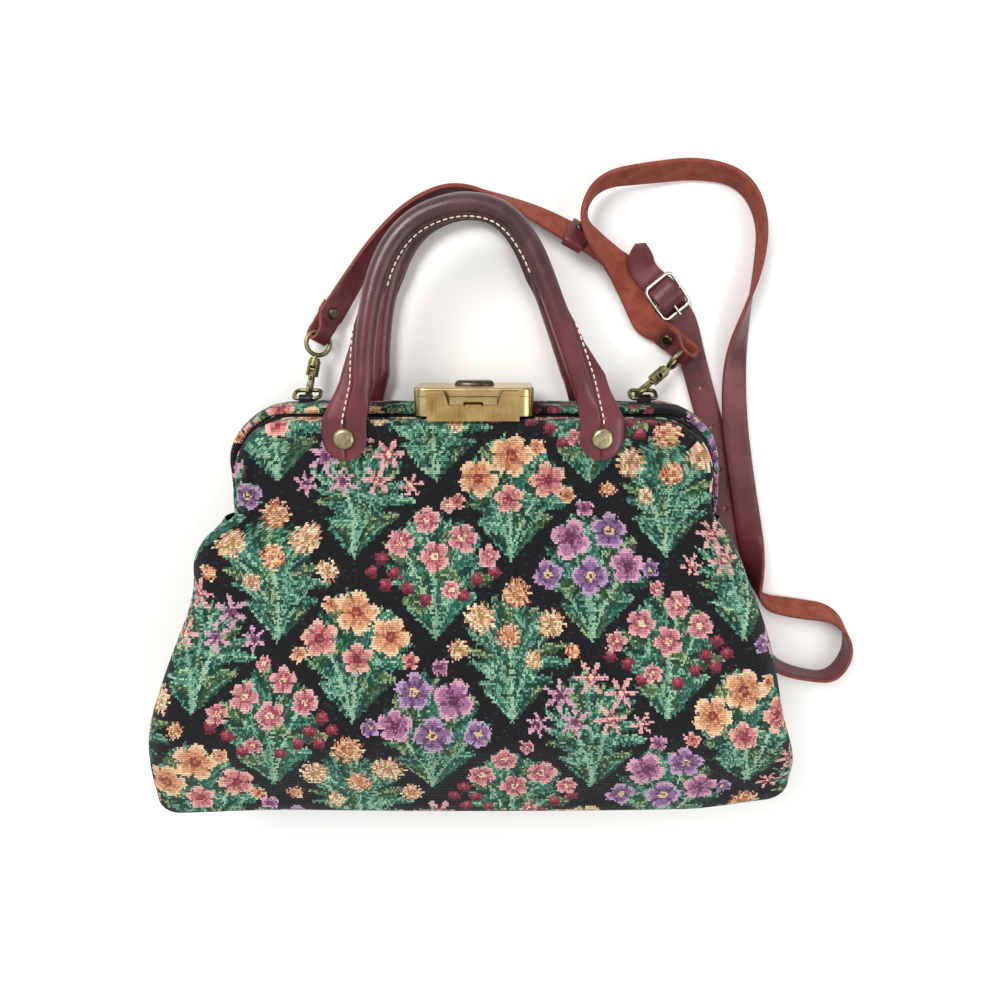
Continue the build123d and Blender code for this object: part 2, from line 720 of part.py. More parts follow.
def lug(x):
    tongue = block(
        x - LUG_HALF_WIDTH,
        x + LUG_HALF_WIDTH,
        back_top - STEEL / 2,
        RING_BAR_Y,
        RING_BAR_Z - LUG_RADIUS,
        RING_BAR_Z + LUG_RADIUS,
    )
    nose_end = rod(
        LUG_RADIUS, (x - LUG_HALF_WIDTH, RING_BAR_Y, RING_BAR_Z), (x + LUG_HALF_WIDTH, RING_BAR_Y, RING_BAR_Z)
    )
    return tongue + nose_end


def lug_slot(x):
    return block(
        x - LUG_HALF_WIDTH - LUG_CLEAR,
        x + LUG_HALF_WIDTH + LUG_CLEAR,
        0,
        FAR,
        RING_BAR_Z - LUG_RADIUS - LUG_CLEAR,
        RING_BAR_Z + LUG_RADIUS + LUG_CLEAR,
    )


ring_plane = Plane(
    origin=(0, RING_BAR_Y, RING_BAR_Z),
    x_dir=(1, 0, 0),
    z_dir=(0, sin(radians(RING_DROOP)), cos(radians(RING_DROOP))),
)
ring_path = FilletPolyline(
    (RING_HALF_WIDTH, 0, 0),
    (RING_HALF_WIDTH, RING_REACH, 0),
    (-RING_HALF_WIDTH, RING_REACH, 0),
    (-RING_HALF_WIDTH, 0, 0),
    radius=RING_BEND,
    close=True,
)
ring_shape = sweep(
    Plane(origin=ring_path @ 0, z_dir=ring_path % 0) * Circle(RING_WIRE), path=ring_path
)
ring_shape = ring_plane * ring_shape
ring_axis = rod(
    RING_WIRE + HINGE_PLAY, (-FAR, RING_BAR_Y, RING_BAR_Z), (FAR, RING_BAR_Y, RING_BAR_Z)
)
for side, name in ((-1, "left"), (1, "right")):
    x = side * RING_X
    back_frame = back_frame + lug(x)
    rim_cover = rim_cover - lug_slot(x)
    save(Pos(x, 0, 0) * ring_shape, name + "_ring")
back_frame = back_frame - ring_axis
save(back_frame, "back_frame")
save(rim_cover, "back_frame_cover")

# Snap hooks, modelled along local X from the ring to the strap, Z up

def hook_frame(side, turn):
    heading = radians(turn)
    pitch = radians(HOOK_PITCH)
    along = (sin(heading) * cos(pitch), cos(heading) * cos(pitch), sin(pitch))
    up = (-sin(heading) * sin(pitch), -cos(heading) * sin(pitch), cos(pitch))
    low_bar = ring_plane.origin + ring_plane.y_dir * RING_REACH
    return Plane(origin=(side * RING_X, low_bar.Y, low_bar.Z), x_dir=along, z_dir=up)


bow_path = FilletPolyline(
    (BARREL_START + 1.5, 0, -1.6),
    (HOOK_BOW + 1.2, 0, -HOOK_BOW),
    (-HOOK_BOW, 0, -HOOK_BOW),
    (-HOOK_BOW, 0, HOOK_BOW),
    (BOW_TIP, 0, HOOK_BOW),
    radius=[2.5, HOOK_BOW - 0.1, HOOK_BOW - 0.1],
)
bow = sweep(Plane(origin=bow_path @ 0, z_dir=bow_path % 0) * Circle(HOOK_WIRE), path=bow_path)
barrel = rod(BARREL_RADIUS, (BARREL_START, 0, 0), (BARREL_END, 0, 0))
collar = rod(COLLAR_RADIUS, (BARREL_END, 0, 0), (COLLAR_END, 0, 0))
head_start = BARREL_END - 2.6
head_end = head_start + 1.2
slot_floor = GATE_PIVOT_V - GATE_EYE - 0.2
slot = block(BARREL_START - 1, head_start - 0.7, -BARREL_SLOT, BARREL_SLOT, slot_floor, FAR)
pin_hole = rod(GATE_PIN, (GATE_PIVOT_U, -FAR, GATE_PIVOT_V), (GATE_PIVOT_U, FAR, GATE_PIVOT_V))
stem_bore = rod(SWIVEL_STEM + SWIVEL_PLAY, (head_start, 0, 0), (COLLAR_END + 1, 0, 0))
head_bore = rod(SWIVEL_HEAD + SWIVEL_PLAY, (head_start - 0.1, 0, 0), (head_end + 0.1, 0, 0))
hook_shape = bow + barrel + collar - slot - pin_hole - stem_bore - head_bore
gate_pin = rod(
    GATE_PIN, (GATE_PIVOT_U, -BARREL_RADIUS + 0.2, GATE_PIVOT_V), (GATE_PIVOT_U, BARREL_RADIUS - 0.2, GATE_PIVOT_V)
)
gate_run = Vector(BOW_TIP + 0.5, 0, HOOK_BOW) - Vector(GATE_PIVOT_U, 0, GATE_PIVOT_V)
gate_plane = Plane(
    origin=(GATE_PIVOT_U, 0, GATE_PIVOT_V), x_dir=gate_run, z_dir=Vector(0, 1, 0).cross(gate_run)
)
gate_bar = gate_plane * block(
    0, gate_run.length, -GATE_WIDTH / 2, GATE_WIDTH / 2, -GATE_THICKNESS / 2, GATE_THICKNESS / 2
)
gate_eye = rod(
    GATE_EYE, (GATE_PIVOT_U, -GATE_WIDTH / 2, GATE_PIVOT_V), (GATE_PIVOT_U, GATE_WIDTH / 2, GATE_PIVOT_V)
)
pin_clear = rod(
    GATE_PIN + HINGE_PLAY, (GATE_PIVOT_U, -FAR, GATE_PIVOT_V), (GATE_PIVOT_U, FAR, GATE_PIVOT_V)
)
knob_at = gate_run * 0.5 + Vector(GATE_PIVOT_U, 0, GATE_PIVOT_V + 0.9)
gate_shape = gate_bar + gate_eye - pin_clear + Pos(knob_at.X, 0, knob_at.Z) * Sphere(THUMB_KNOB)
stem = rod(SWIVEL_STEM, (head_start, 0, 0), (SWIVEL_CENTRE - SWIVEL_RING, 0, 0))
stem_head = rod(SWIVEL_HEAD, (head_start, 0, 0), (head_end, 0, 0))
eye_ring = Pos(SWIVEL_CENTRE, 0, 0) * Torus(SWIVEL_RING, SWIVEL_WIRE)
eye_room = Pos(SWIVEL_CENTRE, 0, 0) * Torus(SWIVEL_RING, SWIVEL_WIRE + 0.25)
eye_far = SWIVEL_CENTRE + SWIVEL_RING
hooks = ((-1, "left", LEFT_HOOK_TURN, LEFT_EYE_ROLL), (1, "right", RIGHT_HOOK_TURN, RIGHT_EYE_ROLL))
eye_rooms = {}
eye_points = {}
for side, name, turn, roll in hooks:
    seat = hook_frame(side, turn)
    save(seat * hook_shape, name + "_hook_body")
    save(seat * gate_pin, name + "_hook_pin")
    save(seat * gate_shape, name + "_hook_gate")
    swivel = stem + stem_head + Rot(roll, 0, 0) * eye_ring
    save(seat * swivel, name + "_hook_eye")
    eye_rooms[name] = seat * (Rot(roll, 0, 0) * eye_room)
    eye_points[name] = seat.from_local_coords(Vector(eye_far, 0, 0))
    print(name, "hook origin", seat.origin, "along", seat.x_dir, "up", seat.z_dir)
    print(name, "gate pin", seat.from_local_coords(Vector(GATE_PIVOT_U, 0, GATE_PIVOT_V)))
    print(name, "gate axis", seat.y_dir, "eye point", eye_points[name])

# Shoulder strap: a flat leather band, leaning by an angle from smooth side up
# Route rows: x, y, height of the middle, lean (0 smooth side up, 90 on edge, 180 suede up)

def resting(lean):
    turn = radians(lean)
    return STRAP_WIDTH / 2 * abs(sin(turn)) + STRAP_LEATHER / 2 * abs(cos(turn)) + STRAP_CLEAR


def lean_frame(x, y, z, way, lean):
    right = Vector(way.Y, -way.X, 0).normalized()
    turn = radians(lean)
    smooth = Vector(0, 0, 1) * cos(turn) + right * sin(turn)
    smooth = (smooth - way * smooth.dot(way)).normalized()
    return Plane(origin=(x, y, z), x_dir=way.cross(smooth) * -1, z_dir=way)


class Band:
    def __init__(self, rows):
        self.points = [(x, y, z) for x, y, z, lean in rows]
        self.leans = [row[3] for row in rows]
        self.radii = corner_radii(self.points)
        self.path = FilletPolyline(*self.points, radius=self.radii)
        self.marks = [0.0]
        for a, b in zip(self.points, self.points[1:]):
            self.marks.append(self.marks[-1] + (Vector(*b) - Vector(*a)).length)

    def lean_at(self, share):
        place = share * self.marks[-1]
        for i in range(len(self.marks) - 1):
            if place <= self.marks[i + 1]:
                break
        part = (place - self.marks[i]) / (self.marks[i + 1] - self.marks[i])
        return self.leans[i] + (self.leans[i + 1] - self.leans[i]) * min(1.0, max(0.0, part))

    def frame_at(self, share):
        spot = self.path @ share
        way = self.path % share
        return lean_frame(spot.X, spot.Y, spot.Z, way, self.lean_at(share))

    def solid(self):
        count = round(self.path.length / STRAP_STEP)
        faces = [
            self.frame_at(i / count) * Rectangle(STRAP_WIDTH, STRAP_LEATHER)
            for i in range(count + 1)
        ]
        return loft(faces, ruled=True)


def fold_shape(frame):
    wrap = SWIVEL_WIRE + FOLD_HOLLOW + STRAP_LEATHER
    neck = Pos(FOLD_NECK - 0.5, 0) * Rectangle(1, 2 * STRAP_LEATHER)
    legs = Pos((FOLD_LENGTH + FOLD_NECK) / 2, 0) * Rectangle(
        FOLD_LENGTH - FOLD_NECK, 2 * STRAP_LEATHER
    )
    outside = make_hull([*Circle(wrap).edges(), *neck.edges()]) + legs
    tail = Pos(FOLD_NECK - 1, 0) * Circle(0.3)
    inside = make_hull([*Circle(wrap - STRAP_LEATHER).edges(), *tail.edges()])
    shape = extrude(outside - inside, STRAP_WIDTH / 2, both=True)
    taper = Polyline(
        (-FAR / 4, FOLD_WIDTH / 2),
        (wrap - STRAP_LEATHER, FOLD_WIDTH / 2),
        (FOLD_NECK + 1, STRAP_WIDTH / 2),
        (FOLD_LENGTH + 1, STRAP_WIDTH / 2),
        (FOLD_LENGTH + 1, -STRAP_WIDTH / 2),
        (FOLD_NECK + 1, -STRAP_WIDTH / 2),
        (wrap - STRAP_LEATHER, -FOLD_WIDTH / 2),
        (-FAR / 4, -FOLD_WIDTH / 2),
        close=True,
    )
    return frame * (shape & extrude(Plane.XZ * make_face(taper), 4 * FOLD_NECK, both=True))


def strap_rivet(frame):
    half = STRAP_LEATHER
    cap_shape = Cylinder(
        STRAP_RIVET_RADIUS, STRAP_RIVET_RISE, align=(Align.CENTER, Align.CENTER, Align.MIN)
    )
    cap_shape = fillet(cap_shape.faces().sort_by(Axis.Z)[-1].edges(), STRAP_RIVET_RISE * 0.9)
    top = Pos(0, 0, half + STRAP_CLEAR) * cap_shape
    shape = top + mirror(top, about=Plane.XY) + Cylinder(STRAP_RIVET_POST, 2 * half + 1)
    return frame * (Pos(FOLD_LENGTH - STRAP_RIVET_RADIUS - 0.4, 0, 0) * Rot(90, 0, 0) * shape)


def rivet_room(frame):
    hole = Rot(90, 0, 0) * Cylinder(STRAP_RIVET_POST + STRAP_CLEAR, FAR)
    shape = Pos(FOLD_LENGTH - STRAP_RIVET_RADIUS - 0.4, 0, 0) * hole
    return frame * (shape & block(0, FOLD_LENGTH, -2 * STRAP_WIDTH, 2 * STRAP_WIDTH, -FAR, FAR))


left_eye = eye_points["left"]
right_eye = eye_points["right"]
SHORT_START_LEAN = 40.0
LONG_END_LEAN = 222.0
short_way = Vector(0.55, 0.835, -0.05).normalized()
long_way = Vector(-0.787, 0.617, -0.1).normalized()
short_seat = lean_frame(*left_eye, short_way, SHORT_START_LEAN)
long_seat = lean_frame(*right_eye, long_way * -1, LONG_END_LEAN)
leg_reach = FOLD_LENGTH - FOLD_OVERLAP
short_first = left_eye + short_way * leg_reach + short_seat.y_dir * (STRAP_LEATHER / 2)
long_last = right_eye + long_way * leg_reach + long_seat.y_dir * (STRAP_LEATHER / 2)
short_fold = Plane(origin=left_eye, x_dir=short_way, z_dir=short_way.cross(short_seat.y_dir))
long_fold = Plane(origin=right_eye, x_dir=long_way, z_dir=long_way.cross(long_seat.y_dir))

keeper_half_width = STRAP_WIDTH / 2 + KEEPER_ROOM + KEEPER_LEATHER
keeper_half_depth = STRAP_LEATHER / 2 + KEEPER_ROOM + KEEPER_LEATHER
keeper_turn = radians(KEEPER_LEAN)
raised = keeper_half_width * abs(sin(keeper_turn)) + keeper_half_depth * abs(cos(keeper_turn))
raised = raised + STRAP_CLEAR
heading = radians(BUCKLE_TURN)


def on_buckle(a, b, z):
    x = BUCKLE_X + a * cos(heading) - b * sin(heading)
    y = BUCKLE_Y + a * sin(heading) + b * cos(heading)
    return (x, y, z)


short_rows = [
    (short_first.X, short_first.Y, short_first.Z, SHORT_START_LEAN),
    (-66.0, 118.5, resting(52), 52),
    (-50.5, 139.5, resting(64), 64),
    (-32.0, 158.0, resting(78), 78),
    (-9.0, 167.5, resting(90), 90),
    (17.0, 159.5, resting(105) + 1.0, 105),
    (41.0, 148.0, raised, KEEPER_LEAN),
    (67.1, 134.3, raised, KEEPER_LEAN),
    (83.0, 123.5, resting(175), 175),
    (*on_buckle(-12.5, -0.8, resting(180)), 180),
    (*on_buckle(-5.5, 0, 3.2), 180),
    (*on_buckle(-1.0, 0, 5.2), 180),
]
short_band = Band(short_rows)
print("short band radii", [round(r, 1) for r in short_band.radii], "length", round(short_band.path.length, 1))

over_bar = BUCKLE_HEIGHT + BUCKLE_WIRE + STRAP_CLEAR + BUCKLE_LOOP + STRAP_LEATHER / 2
long_rows = [
    (87.0, 136.5, 15.0, 0),
    (87.6, 127.5, 10.0, 0),
    (*on_buckle(-15.5, -2.0, 5.8), 0),
    (*on_buckle(-9.0, -0.5, 5.4), 0),
    (*on_buckle(-4.0, 0, over_bar + 0.8), 0),
    (*on_buckle(4.0, 0, over_bar + 0.8), 0),
    (*on_buckle(7.6, 0, 2.0), 0),
    (*on_buckle(17.0, 0.6, resting(0)), 0),
    (120.5, 79.0, resting(0), 0),
    (128.8, 53.5, resting(0), 0),
    (136.4, 32.0, resting(0), 0),
    (142.6, 5.0, resting(0), 0),
    (148.5, -25.0, resting(0), 0),
    (157.5, -66.0, resting(0), 0),
    (167.0, -90.0, resting(38) + 1.0, -38),
    (180.0, -107.5, resting(75) + 0.5, -75),
    (200.0, -114.0, resting(90), -90),
    (218.0, -115.5, resting(90), -92),
    (227.0, -95.0, resting(90), -94),
    (215.5, -73.5, resting(112), -112),
    (190.5, -70.5, resting(126), -126),
    (166.5, -65.5, resting(105) + 0.6, -105),
    (163.0, -42.0, resting(55) + 2.4, -55),
    (159.0, -18.0, 2 * STRAP_LEATHER, -5),
    (151.5, 15.0, 2 * STRAP_LEATHER, 0),
    (145.5, 46.0, 2 * STRAP_LEATHER, 0),
    (143.4, 78.0, resting(25) + 0.8, 25),
    (147.5, 103.0, resting(65) + 0.6, 65),
    (152.5, 126.0, resting(88), 88),
    (152.8, 150.0, resting(92), 92),
    (141.0, 169.5, resting(105), 105),
    (117.4, 175.0, resting(125), 125),
    (91.5, 172.3, resting(125) + 1.5, 125),
    (65.0, 168.5, resting(110) + 4.5, 110),
    (55.0, 152.5, resting(98) + 8.5, 98),
    (62.5, 138.0, 18.5, 128),
    (*on_buckle(-31.0, -11.6, 11.0), 165),
    (*on_buckle(-17.5, -12.4, 4.2), 180),
    (*on_buckle(-5.0, -15.0, 3.5), 182),
    (*on_buckle(6.0, -17.8, 4.6), 198),
    (long_last.X, long_last.Y, long_last.Z, LONG_END_LEAN),
]
long_band = Band(long_rows)
print("long band radii", [round(r, 1) for r in long_band.radii], "length", round(long_band.path.length, 1))

buckle_way = Vector(cos(heading), sin(heading), -tan(radians(BUCKLE_TILT))).normalized()
buckle_side = Vector(-sin(heading), cos(heading), 0)
buckle_seat = Plane(
    origin=(BUCKLE_X, BUCKLE_Y, BUCKLE_HEIGHT), x_dir=buckle_way, z_dir=buckle_way.cross(buckle_side)
)
buckle_path = FilletPolyline(
    (BUCKLE_HALF_LENGTH, -BUCKLE_HALF_WIDTH, 0),
    (BUCKLE_HALF_LENGTH, BUCKLE_HALF_WIDTH, 0),
    (-BUCKLE_HALF_LENGTH, BUCKLE_HALF_WIDTH, 0),
    (-BUCKLE_HALF_LENGTH, -BUCKLE_HALF_WIDTH, 0),
    radius=BUCKLE_CORNER,
    close=True,
)
buckle = sweep(
    Plane(origin=buckle_path @ 0, z_dir=buckle_path % 0) * Circle(BUCKLE_WIRE), path=buckle_path
)
buckle = buckle + rod(BUCKLE_WIRE, (0, -BUCKLE_HALF_WIDTH, 0), (0, BUCKLE_HALF_WIDTH, 0))
save(buckle_seat * buckle, "buckle_frame")

eye_half = TONGUE_SLOT - 0.4
eye_radius = BUCKLE_WIRE + TONGUE_PLAY + 0.8
rest_height = BUCKLE_WIRE + TONGUE_WIRE + TONGUE_PLAY + 0.2
tongue = rod(eye_radius, (0, -eye_half, 0), (0, eye_half, 0))
tongue = tongue + rod(TONGUE_WIRE, (0.6, 0, 1.0), (BUCKLE_HALF_LENGTH + 1.6, 0, rest_height))
tongue = tongue - rod(BUCKLE_WIRE + TONGUE_PLAY, (0, -FAR, 0), (0, FAR, 0))
save(buckle_seat * tongue, "buckle_tongue")
print("buckle pivot", buckle_seat.origin, "axis", buckle_seat.y_dir)

loop_outer = BUCKLE_WIRE + STRAP_CLEAR + BUCKLE_LOOP
bar_loop = rod(loop_outer, (0, -BUCKLE_END / 2, 0), (0, BUCKLE_END / 2, 0))
bar_room = rod(BUCKLE_WIRE + STRAP_CLEAR, (0, -FAR, 0), (0, FAR, 0))
buckle_sides = block(-BUCKLE_END, FAR, BUCKLE_END / 2, FAR, -FAR, FAR)
buckle_sides = buckle_sides + mirror(buckle_sides, about=Plane.XZ)
tongue_room = block(-eye_radius - 0.2, FAR, -TONGUE_SLOT, TONGUE_SLOT, -FAR, FAR)

strap_short = short_band.solid() - buckle_seat * (bar_room & block(-4, 4, -9, 9, -4, 4))
strap_short = strap_short - buckle_seat * buckle_sides
strap_short = strap_short + buckle_seat * (bar_loop - bar_room)
strap_short = strap_short - buckle_seat * (tongue_room & block(-4, 6, -4, 4, -8, 8))
strap_short = strap_short + fold_shape(short_fold) - rivet_room(short_fold) - eye_rooms["left"]
save(strap_short, "strap_short")
save(strap_rivet(short_fold), "strap_rivet_left")

strap_long = long_band.solid()
for number in range(HOLE_COUNT):
    seat = long_band.frame_at((FIRST_HOLE + number * HOLE_SPACING) / long_band.path.length)
    reach = seat.y_dir * (2 * STRAP_LEATHER)
    strap_long = strap_long - rod(HOLE_RADIUS, seat.origin - reach, seat.origin + reach)
flat_seat = Plane(
    origin=(BUCKLE_X, BUCKLE_Y, 0), x_dir=(cos(heading), sin(heading), 0), z_dir=(0, 0, 1)
)
strap_long = strap_long - flat_seat * block(2.2, 8.6, -TONGUE_SLOT, TONGUE_SLOT, 2.0, 14)
strap_long = strap_long + fold_shape(long_fold) - rivet_room(long_fold) - eye_rooms["right"]
save(strap_long, "strap_long")
save(strap_rivet(long_fold), "strap_rivet_right")

keeper_share = (short_band.marks[6] + short_band.marks[7]) / 2 / short_band.marks[-1]
keeper_seat = short_band.frame_at(keeper_share)
keeper = Box(2 * keeper_half_width, 2 * keeper_half_depth, KEEPER_LENGTH)
keeper = fillet(keeper.edges().filter_by(Axis.Z), 1.2)
keeper_inside = Box(
    2 * (keeper_half_width - KEEPER_LEATHER), 2 * (keeper_half_depth - KEEPER_LEATHER), FAR
)
save(keeper_seat * (keeper - keeper_inside), "strap_keeper")
keeper_cap = Cylinder(KEEPER_RIVET_RADIUS, STRAP_RIVET_RISE, align=(Align.CENTER, Align.CENTER, Align.MIN))
keeper_cap = fillet(keeper_cap.faces().sort_by(Axis.Z)[-1].edges(), STRAP_RIVET_RISE * 0.9)
keeper_cap = Pos(-KEEPER_RIVET_SHIFT, -keeper_half_depth, 0) * Rot(90, 0, 0) * keeper_cap
save(keeper_seat * keeper_cap, "keeper_rivet")
print("strap volumes", round(strap_short.volume), round(strap_long.volume))
print("band volumes", round(short_band.solid().volume), round(long_band.solid().volume))
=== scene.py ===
import math

import bpy
import bmesh
import numpy as np
from mathutils import Matrix, Vector


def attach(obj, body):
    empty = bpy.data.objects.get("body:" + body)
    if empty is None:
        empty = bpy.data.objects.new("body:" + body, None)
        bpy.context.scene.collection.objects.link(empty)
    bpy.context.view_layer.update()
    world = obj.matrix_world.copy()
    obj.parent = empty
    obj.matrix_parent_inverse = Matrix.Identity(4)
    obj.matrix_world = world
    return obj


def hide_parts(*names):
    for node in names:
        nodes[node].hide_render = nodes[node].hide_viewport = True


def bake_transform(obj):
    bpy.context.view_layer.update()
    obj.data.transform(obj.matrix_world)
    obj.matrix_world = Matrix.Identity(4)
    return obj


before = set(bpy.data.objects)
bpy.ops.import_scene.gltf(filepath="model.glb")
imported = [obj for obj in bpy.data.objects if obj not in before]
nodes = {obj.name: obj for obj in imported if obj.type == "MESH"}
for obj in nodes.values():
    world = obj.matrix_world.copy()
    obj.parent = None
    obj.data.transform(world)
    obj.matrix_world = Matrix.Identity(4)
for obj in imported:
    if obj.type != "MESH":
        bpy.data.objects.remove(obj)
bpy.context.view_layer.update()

# Camera
# Held above the handles of the bag, which lies on its back, and tilted down towards its base.
# The lens is the wide one of a phone.
camera_data = bpy.data.cameras.new("camera")
camera_data.sensor_width = 36.0
camera_data.lens = 27.04
camera_data.clip_start = 0.01
camera = bpy.data.objects.new("camera", camera_data)
camera.location = (0.0135, 0.10163, 0.428)
camera.rotation_euler = (math.radians(-14), 0, 0)
bpy.context.scene.collection.objects.link(camera)
bpy.context.scene.camera = camera


# Tapestry cloth
# A thick woven cloth: each small face of the mesh is one stitch of its weft, so that the floral
# figure has the stepped outline of a loom; the shader adds the ribs of the weave and paints shade
# in the grooves between them.
MM = 0.001
STITCH_WIDE = 0.8
STITCH_TALL = 1.1
SPRAY_STEP_X = 80.0
SPRAY_STEP_Y = 40.0
DIAMOND = 36.5
GROUND = "#0E0E14"
DARK_LEAF = ("#12332B", "#1F4E42", "#5E937A")
MID_LEAF = ("#1D4638", "#336B57", "#79A98D")
PALE_LEAF = ("#275A4C", "#4C8870", "#9CBFA0")
OLIVE_LEAF = ("#26402C", "#4C6A46", "#93A67A")
REDS = ("#5E1F2C", "#8C3244", "#B05A64")
PINKS = ("#9A4A5A", "#C97F86", "#E2ABA6", "#E9CDA0")
ROSES = ("#A0505A", "#D0837C", "#E8B3A0", "#7E2B38")
PEACHES = ("#B4744E", "#DB9F78", "#ECC8A0", "#8E3A34")
GOLDS = ("#A87F54", "#DDB384", "#F0DCB6", "#D98F8A")
PURPLES = ("#5A4066", "#8A6590", "#BC9ABA", "#E0C080")
MAUVES = ("#7A4668", "#AE7294", "#D6A4B8", "#5E2F4A")


def linear(hex_colour):
    parts = [int(hex_colour[i:i + 2], 16) / 255 for i in (1, 3, 5)]
    return tuple(c / 12.92 if c <= 0.04045 else ((c + 0.055) / 1.055) ** 2.4 for c in parts) + (1.0,)


def stitch_noise(u, v, salt):
    cell_u = np.floor(u / STITCH_WIDE)
    cell_v = np.floor(v / STITCH_TALL)
    wave = np.sin(cell_u * 12.9898 + cell_v * 78.233 + salt * 37.719) * 43758.5453
    return wave - np.floor(wave)


class Weave:
    """Paints the figure on points of the flat cloth, in millimetres."""

    def __init__(self, u, v):
        stray_u = 1.5 * (stitch_noise(u, v, 3.0) - 0.5)
        stray_v = 1.1 * (stitch_noise(u, v, 4.0) - 0.5)
        self.u = (np.floor(u / STITCH_WIDE) + 0.5) * STITCH_WIDE + stray_u
        self.v = (np.floor(v / STITCH_TALL) + 0.5) * STITCH_TALL + stray_v
        self.fuzz = stitch_noise(u, v, 1.0)
        self.colour = np.tile(np.array(linear(GROUND)[:3]), (len(u), 1))
        self.middle = (0.0, 0.0)

    def near(self, x, y, reach):
        return np.nonzero((np.abs(self.u - x) < reach) & (np.abs(self.v - y) < reach))[0]

    def around(self, x, y, reach, turn):
        cells = self.near(x, y, reach)
        du = self.u[cells] - x
        dv = self.v[cells] - y
        return cells, np.hypot(du, dv), np.arctan2(dv, du) + turn

    def fill(self, cells, mask, hex_colour):
        self.colour[cells[mask]] = linear(hex_colour)[:3]

    def leaf(self, x, y, angle, length, width, tones):
        cells = self.near(x, y, length + 3)
        du = self.u[cells] - x
        dv = self.v[cells] - y
        along = du * math.cos(angle) + dv * math.sin(angle)
        across = -du * math.sin(angle) + dv * math.cos(angle)
        across = across - 0.22 * width * np.sin(along / length * 3.0)
        share = np.clip(along / length, 0, 1)
        half = width * np.sin(np.pi * share ** 0.8) * (1 + 0.2 * np.sin(along * 1.7))
        from_middle = np.abs(self.u[cells] - self.middle[0]) + np.abs(self.v[cells] - self.middle[1])
        inside = (along > 0) & (along < length) & (np.abs(across) < half) & (from_middle < DIAMOND)
        self.fill(cells, inside, tones[0])
        self.fill(cells, inside & (across > 0.25 * half), tones[1])
        self.fill(cells, inside & (np.abs(across) > half * 0.8), tones[1])
        self.fill(cells, inside & (across > half * 0.74), tones[2])
        self.fill(cells, inside & (np.abs(across) < 0.55) & (share < 0.9), tones[2])
        veins = np.abs((along - 1.6 * np.abs(across)) % 4.2) < 0.8
        self.fill(cells, inside & veins & (np.abs(across) < half * 0.8), tones[1])

    def stem(self, x0, y0, x1, y1, bow, tint):
        mid_x = (x0 + x1) / 2 - (y1 - y0) * bow
        mid_y = (y0 + y1) / 2 + (x1 - x0) * bow
        reach = max(abs(x1 - x0), abs(y1 - y0)) / 2 + 8
        cells = self.near((x0 + x1) / 2, (y0 + y1) / 2, reach)
        best = np.full(len(cells), 99.0)
        for k in range(25):
            t = k / 24
            px = (1 - t) ** 2 * x0 + 2 * t * (1 - t) * mid_x + t * t * x1
            py = (1 - t) ** 2 * y0 + 2 * t * (1 - t) * mid_y + t * t * y1
            best = np.minimum(best, np.hypot(self.u[cells] - px, self.v[cells] - py))
        self.fill(cells, best < 0.85, tint)

    def bloom(self, x, y, size, petals, turn, tints):
        cells, r, a = self.around(x, y, size * 1.1, turn)
        lobe = np.abs(np.cos(a * petals / 2))
        edge = size * (0.62 + 0.38 * lobe ** 0.6)
        inside = r < edge
        self.fill(cells, inside, tints[1])
        self.fill(cells, inside & (r > edge * 0.76), tints[2])
        self.fill(cells, inside & (r < edge * 0.55) & (np.cos(a * petals * 3) > 0.3), tints[0])
        self.fill(cells, inside & (lobe < 0.26) & (r > size * 0.22), tints[0])
        self.fill(cells, r < size * 0.24, tints[3])
        self.fill(cells, r < size * 0.1, tints[0])

    def star(self, x, y, size, petals, turn, tints):
        cells, r, a = self.around(x, y, size * 1.1, turn)
        lobe = np.abs(np.cos(a * petals / 2))
        edge = size * (0.22 + 0.78 * lobe ** 2.4)
        inside = r < edge
        self.fill(cells, inside, tints[1])
        self.fill(cells, inside & (lobe > 0.94), tints[2])
        self.fill(cells, inside & (r > edge * 0.72), tints[2])
        self.fill(cells, r < size * 0.26, tints[0])
        self.fill(cells, r < size * 0.14, tints[3])

    def tuft(self, x, y, size, turn, tints):
        cells, r, a = self.around(x, y, size * 1.1, turn)
        inside = r < size * (0.84 + 0.16 * np.cos(a * 13))
        speck = self.fuzz[cells]
        ray = np.cos(a * 11 + r * 0.9)
        self.fill(cells, inside, tints[1])
        self.fill(cells, inside & (ray > 0.35), tints[2])
        self.fill(cells, inside & (ray < -0.6), tints[0])
        self.fill(cells, inside & (speck > 0.86), tints[3])
        self.fill(cells, (r < size * 0.3) & (speck > 0.4), tints[0])

    def berry(self, x, y, size):
        cells, r, a = self.around(x, y, size * 1.2, 0.0)
        self.fill(cells, r < size, REDS[1])
        self.fill(cells, (r < size) & (a < -0.6) & (a > -2.6) & (r > size * 0.4), REDS[0])
        self.fill(cells, (r < size * 0.75) & (a > 1.0) & (a < 2.4), REDS[2])

    def finished(self):
        shade = 0.84 + 0.34 * self.fuzz
        colour = self.colour * shade[:, None]
        stray = stitch_noise(self.u, self.v, 2.0) > 0.96
        ground = np.array(linear("#2E3A3E")[:3])
        colour[stray] = colour[stray] * 0.5 + ground * 0.5
        return colour


LEAF_TONES = (DARK_LEAF, PALE_LEAF, MID_LEAF, OLIVE_LEAF)


def leaf_fan(weave, x, y, low, high, count, length, width, first):
    for k in range(count):
        share = k / (count - 1)
        angle = math.radians(low + (high - low) * share)
        long = length * (0.86 + 0.14 * math.cos(6.3 * share * 1.5))
        weave.leaf(x, y, angle, long, width, LEAF_TONES[(first + k) % 4])


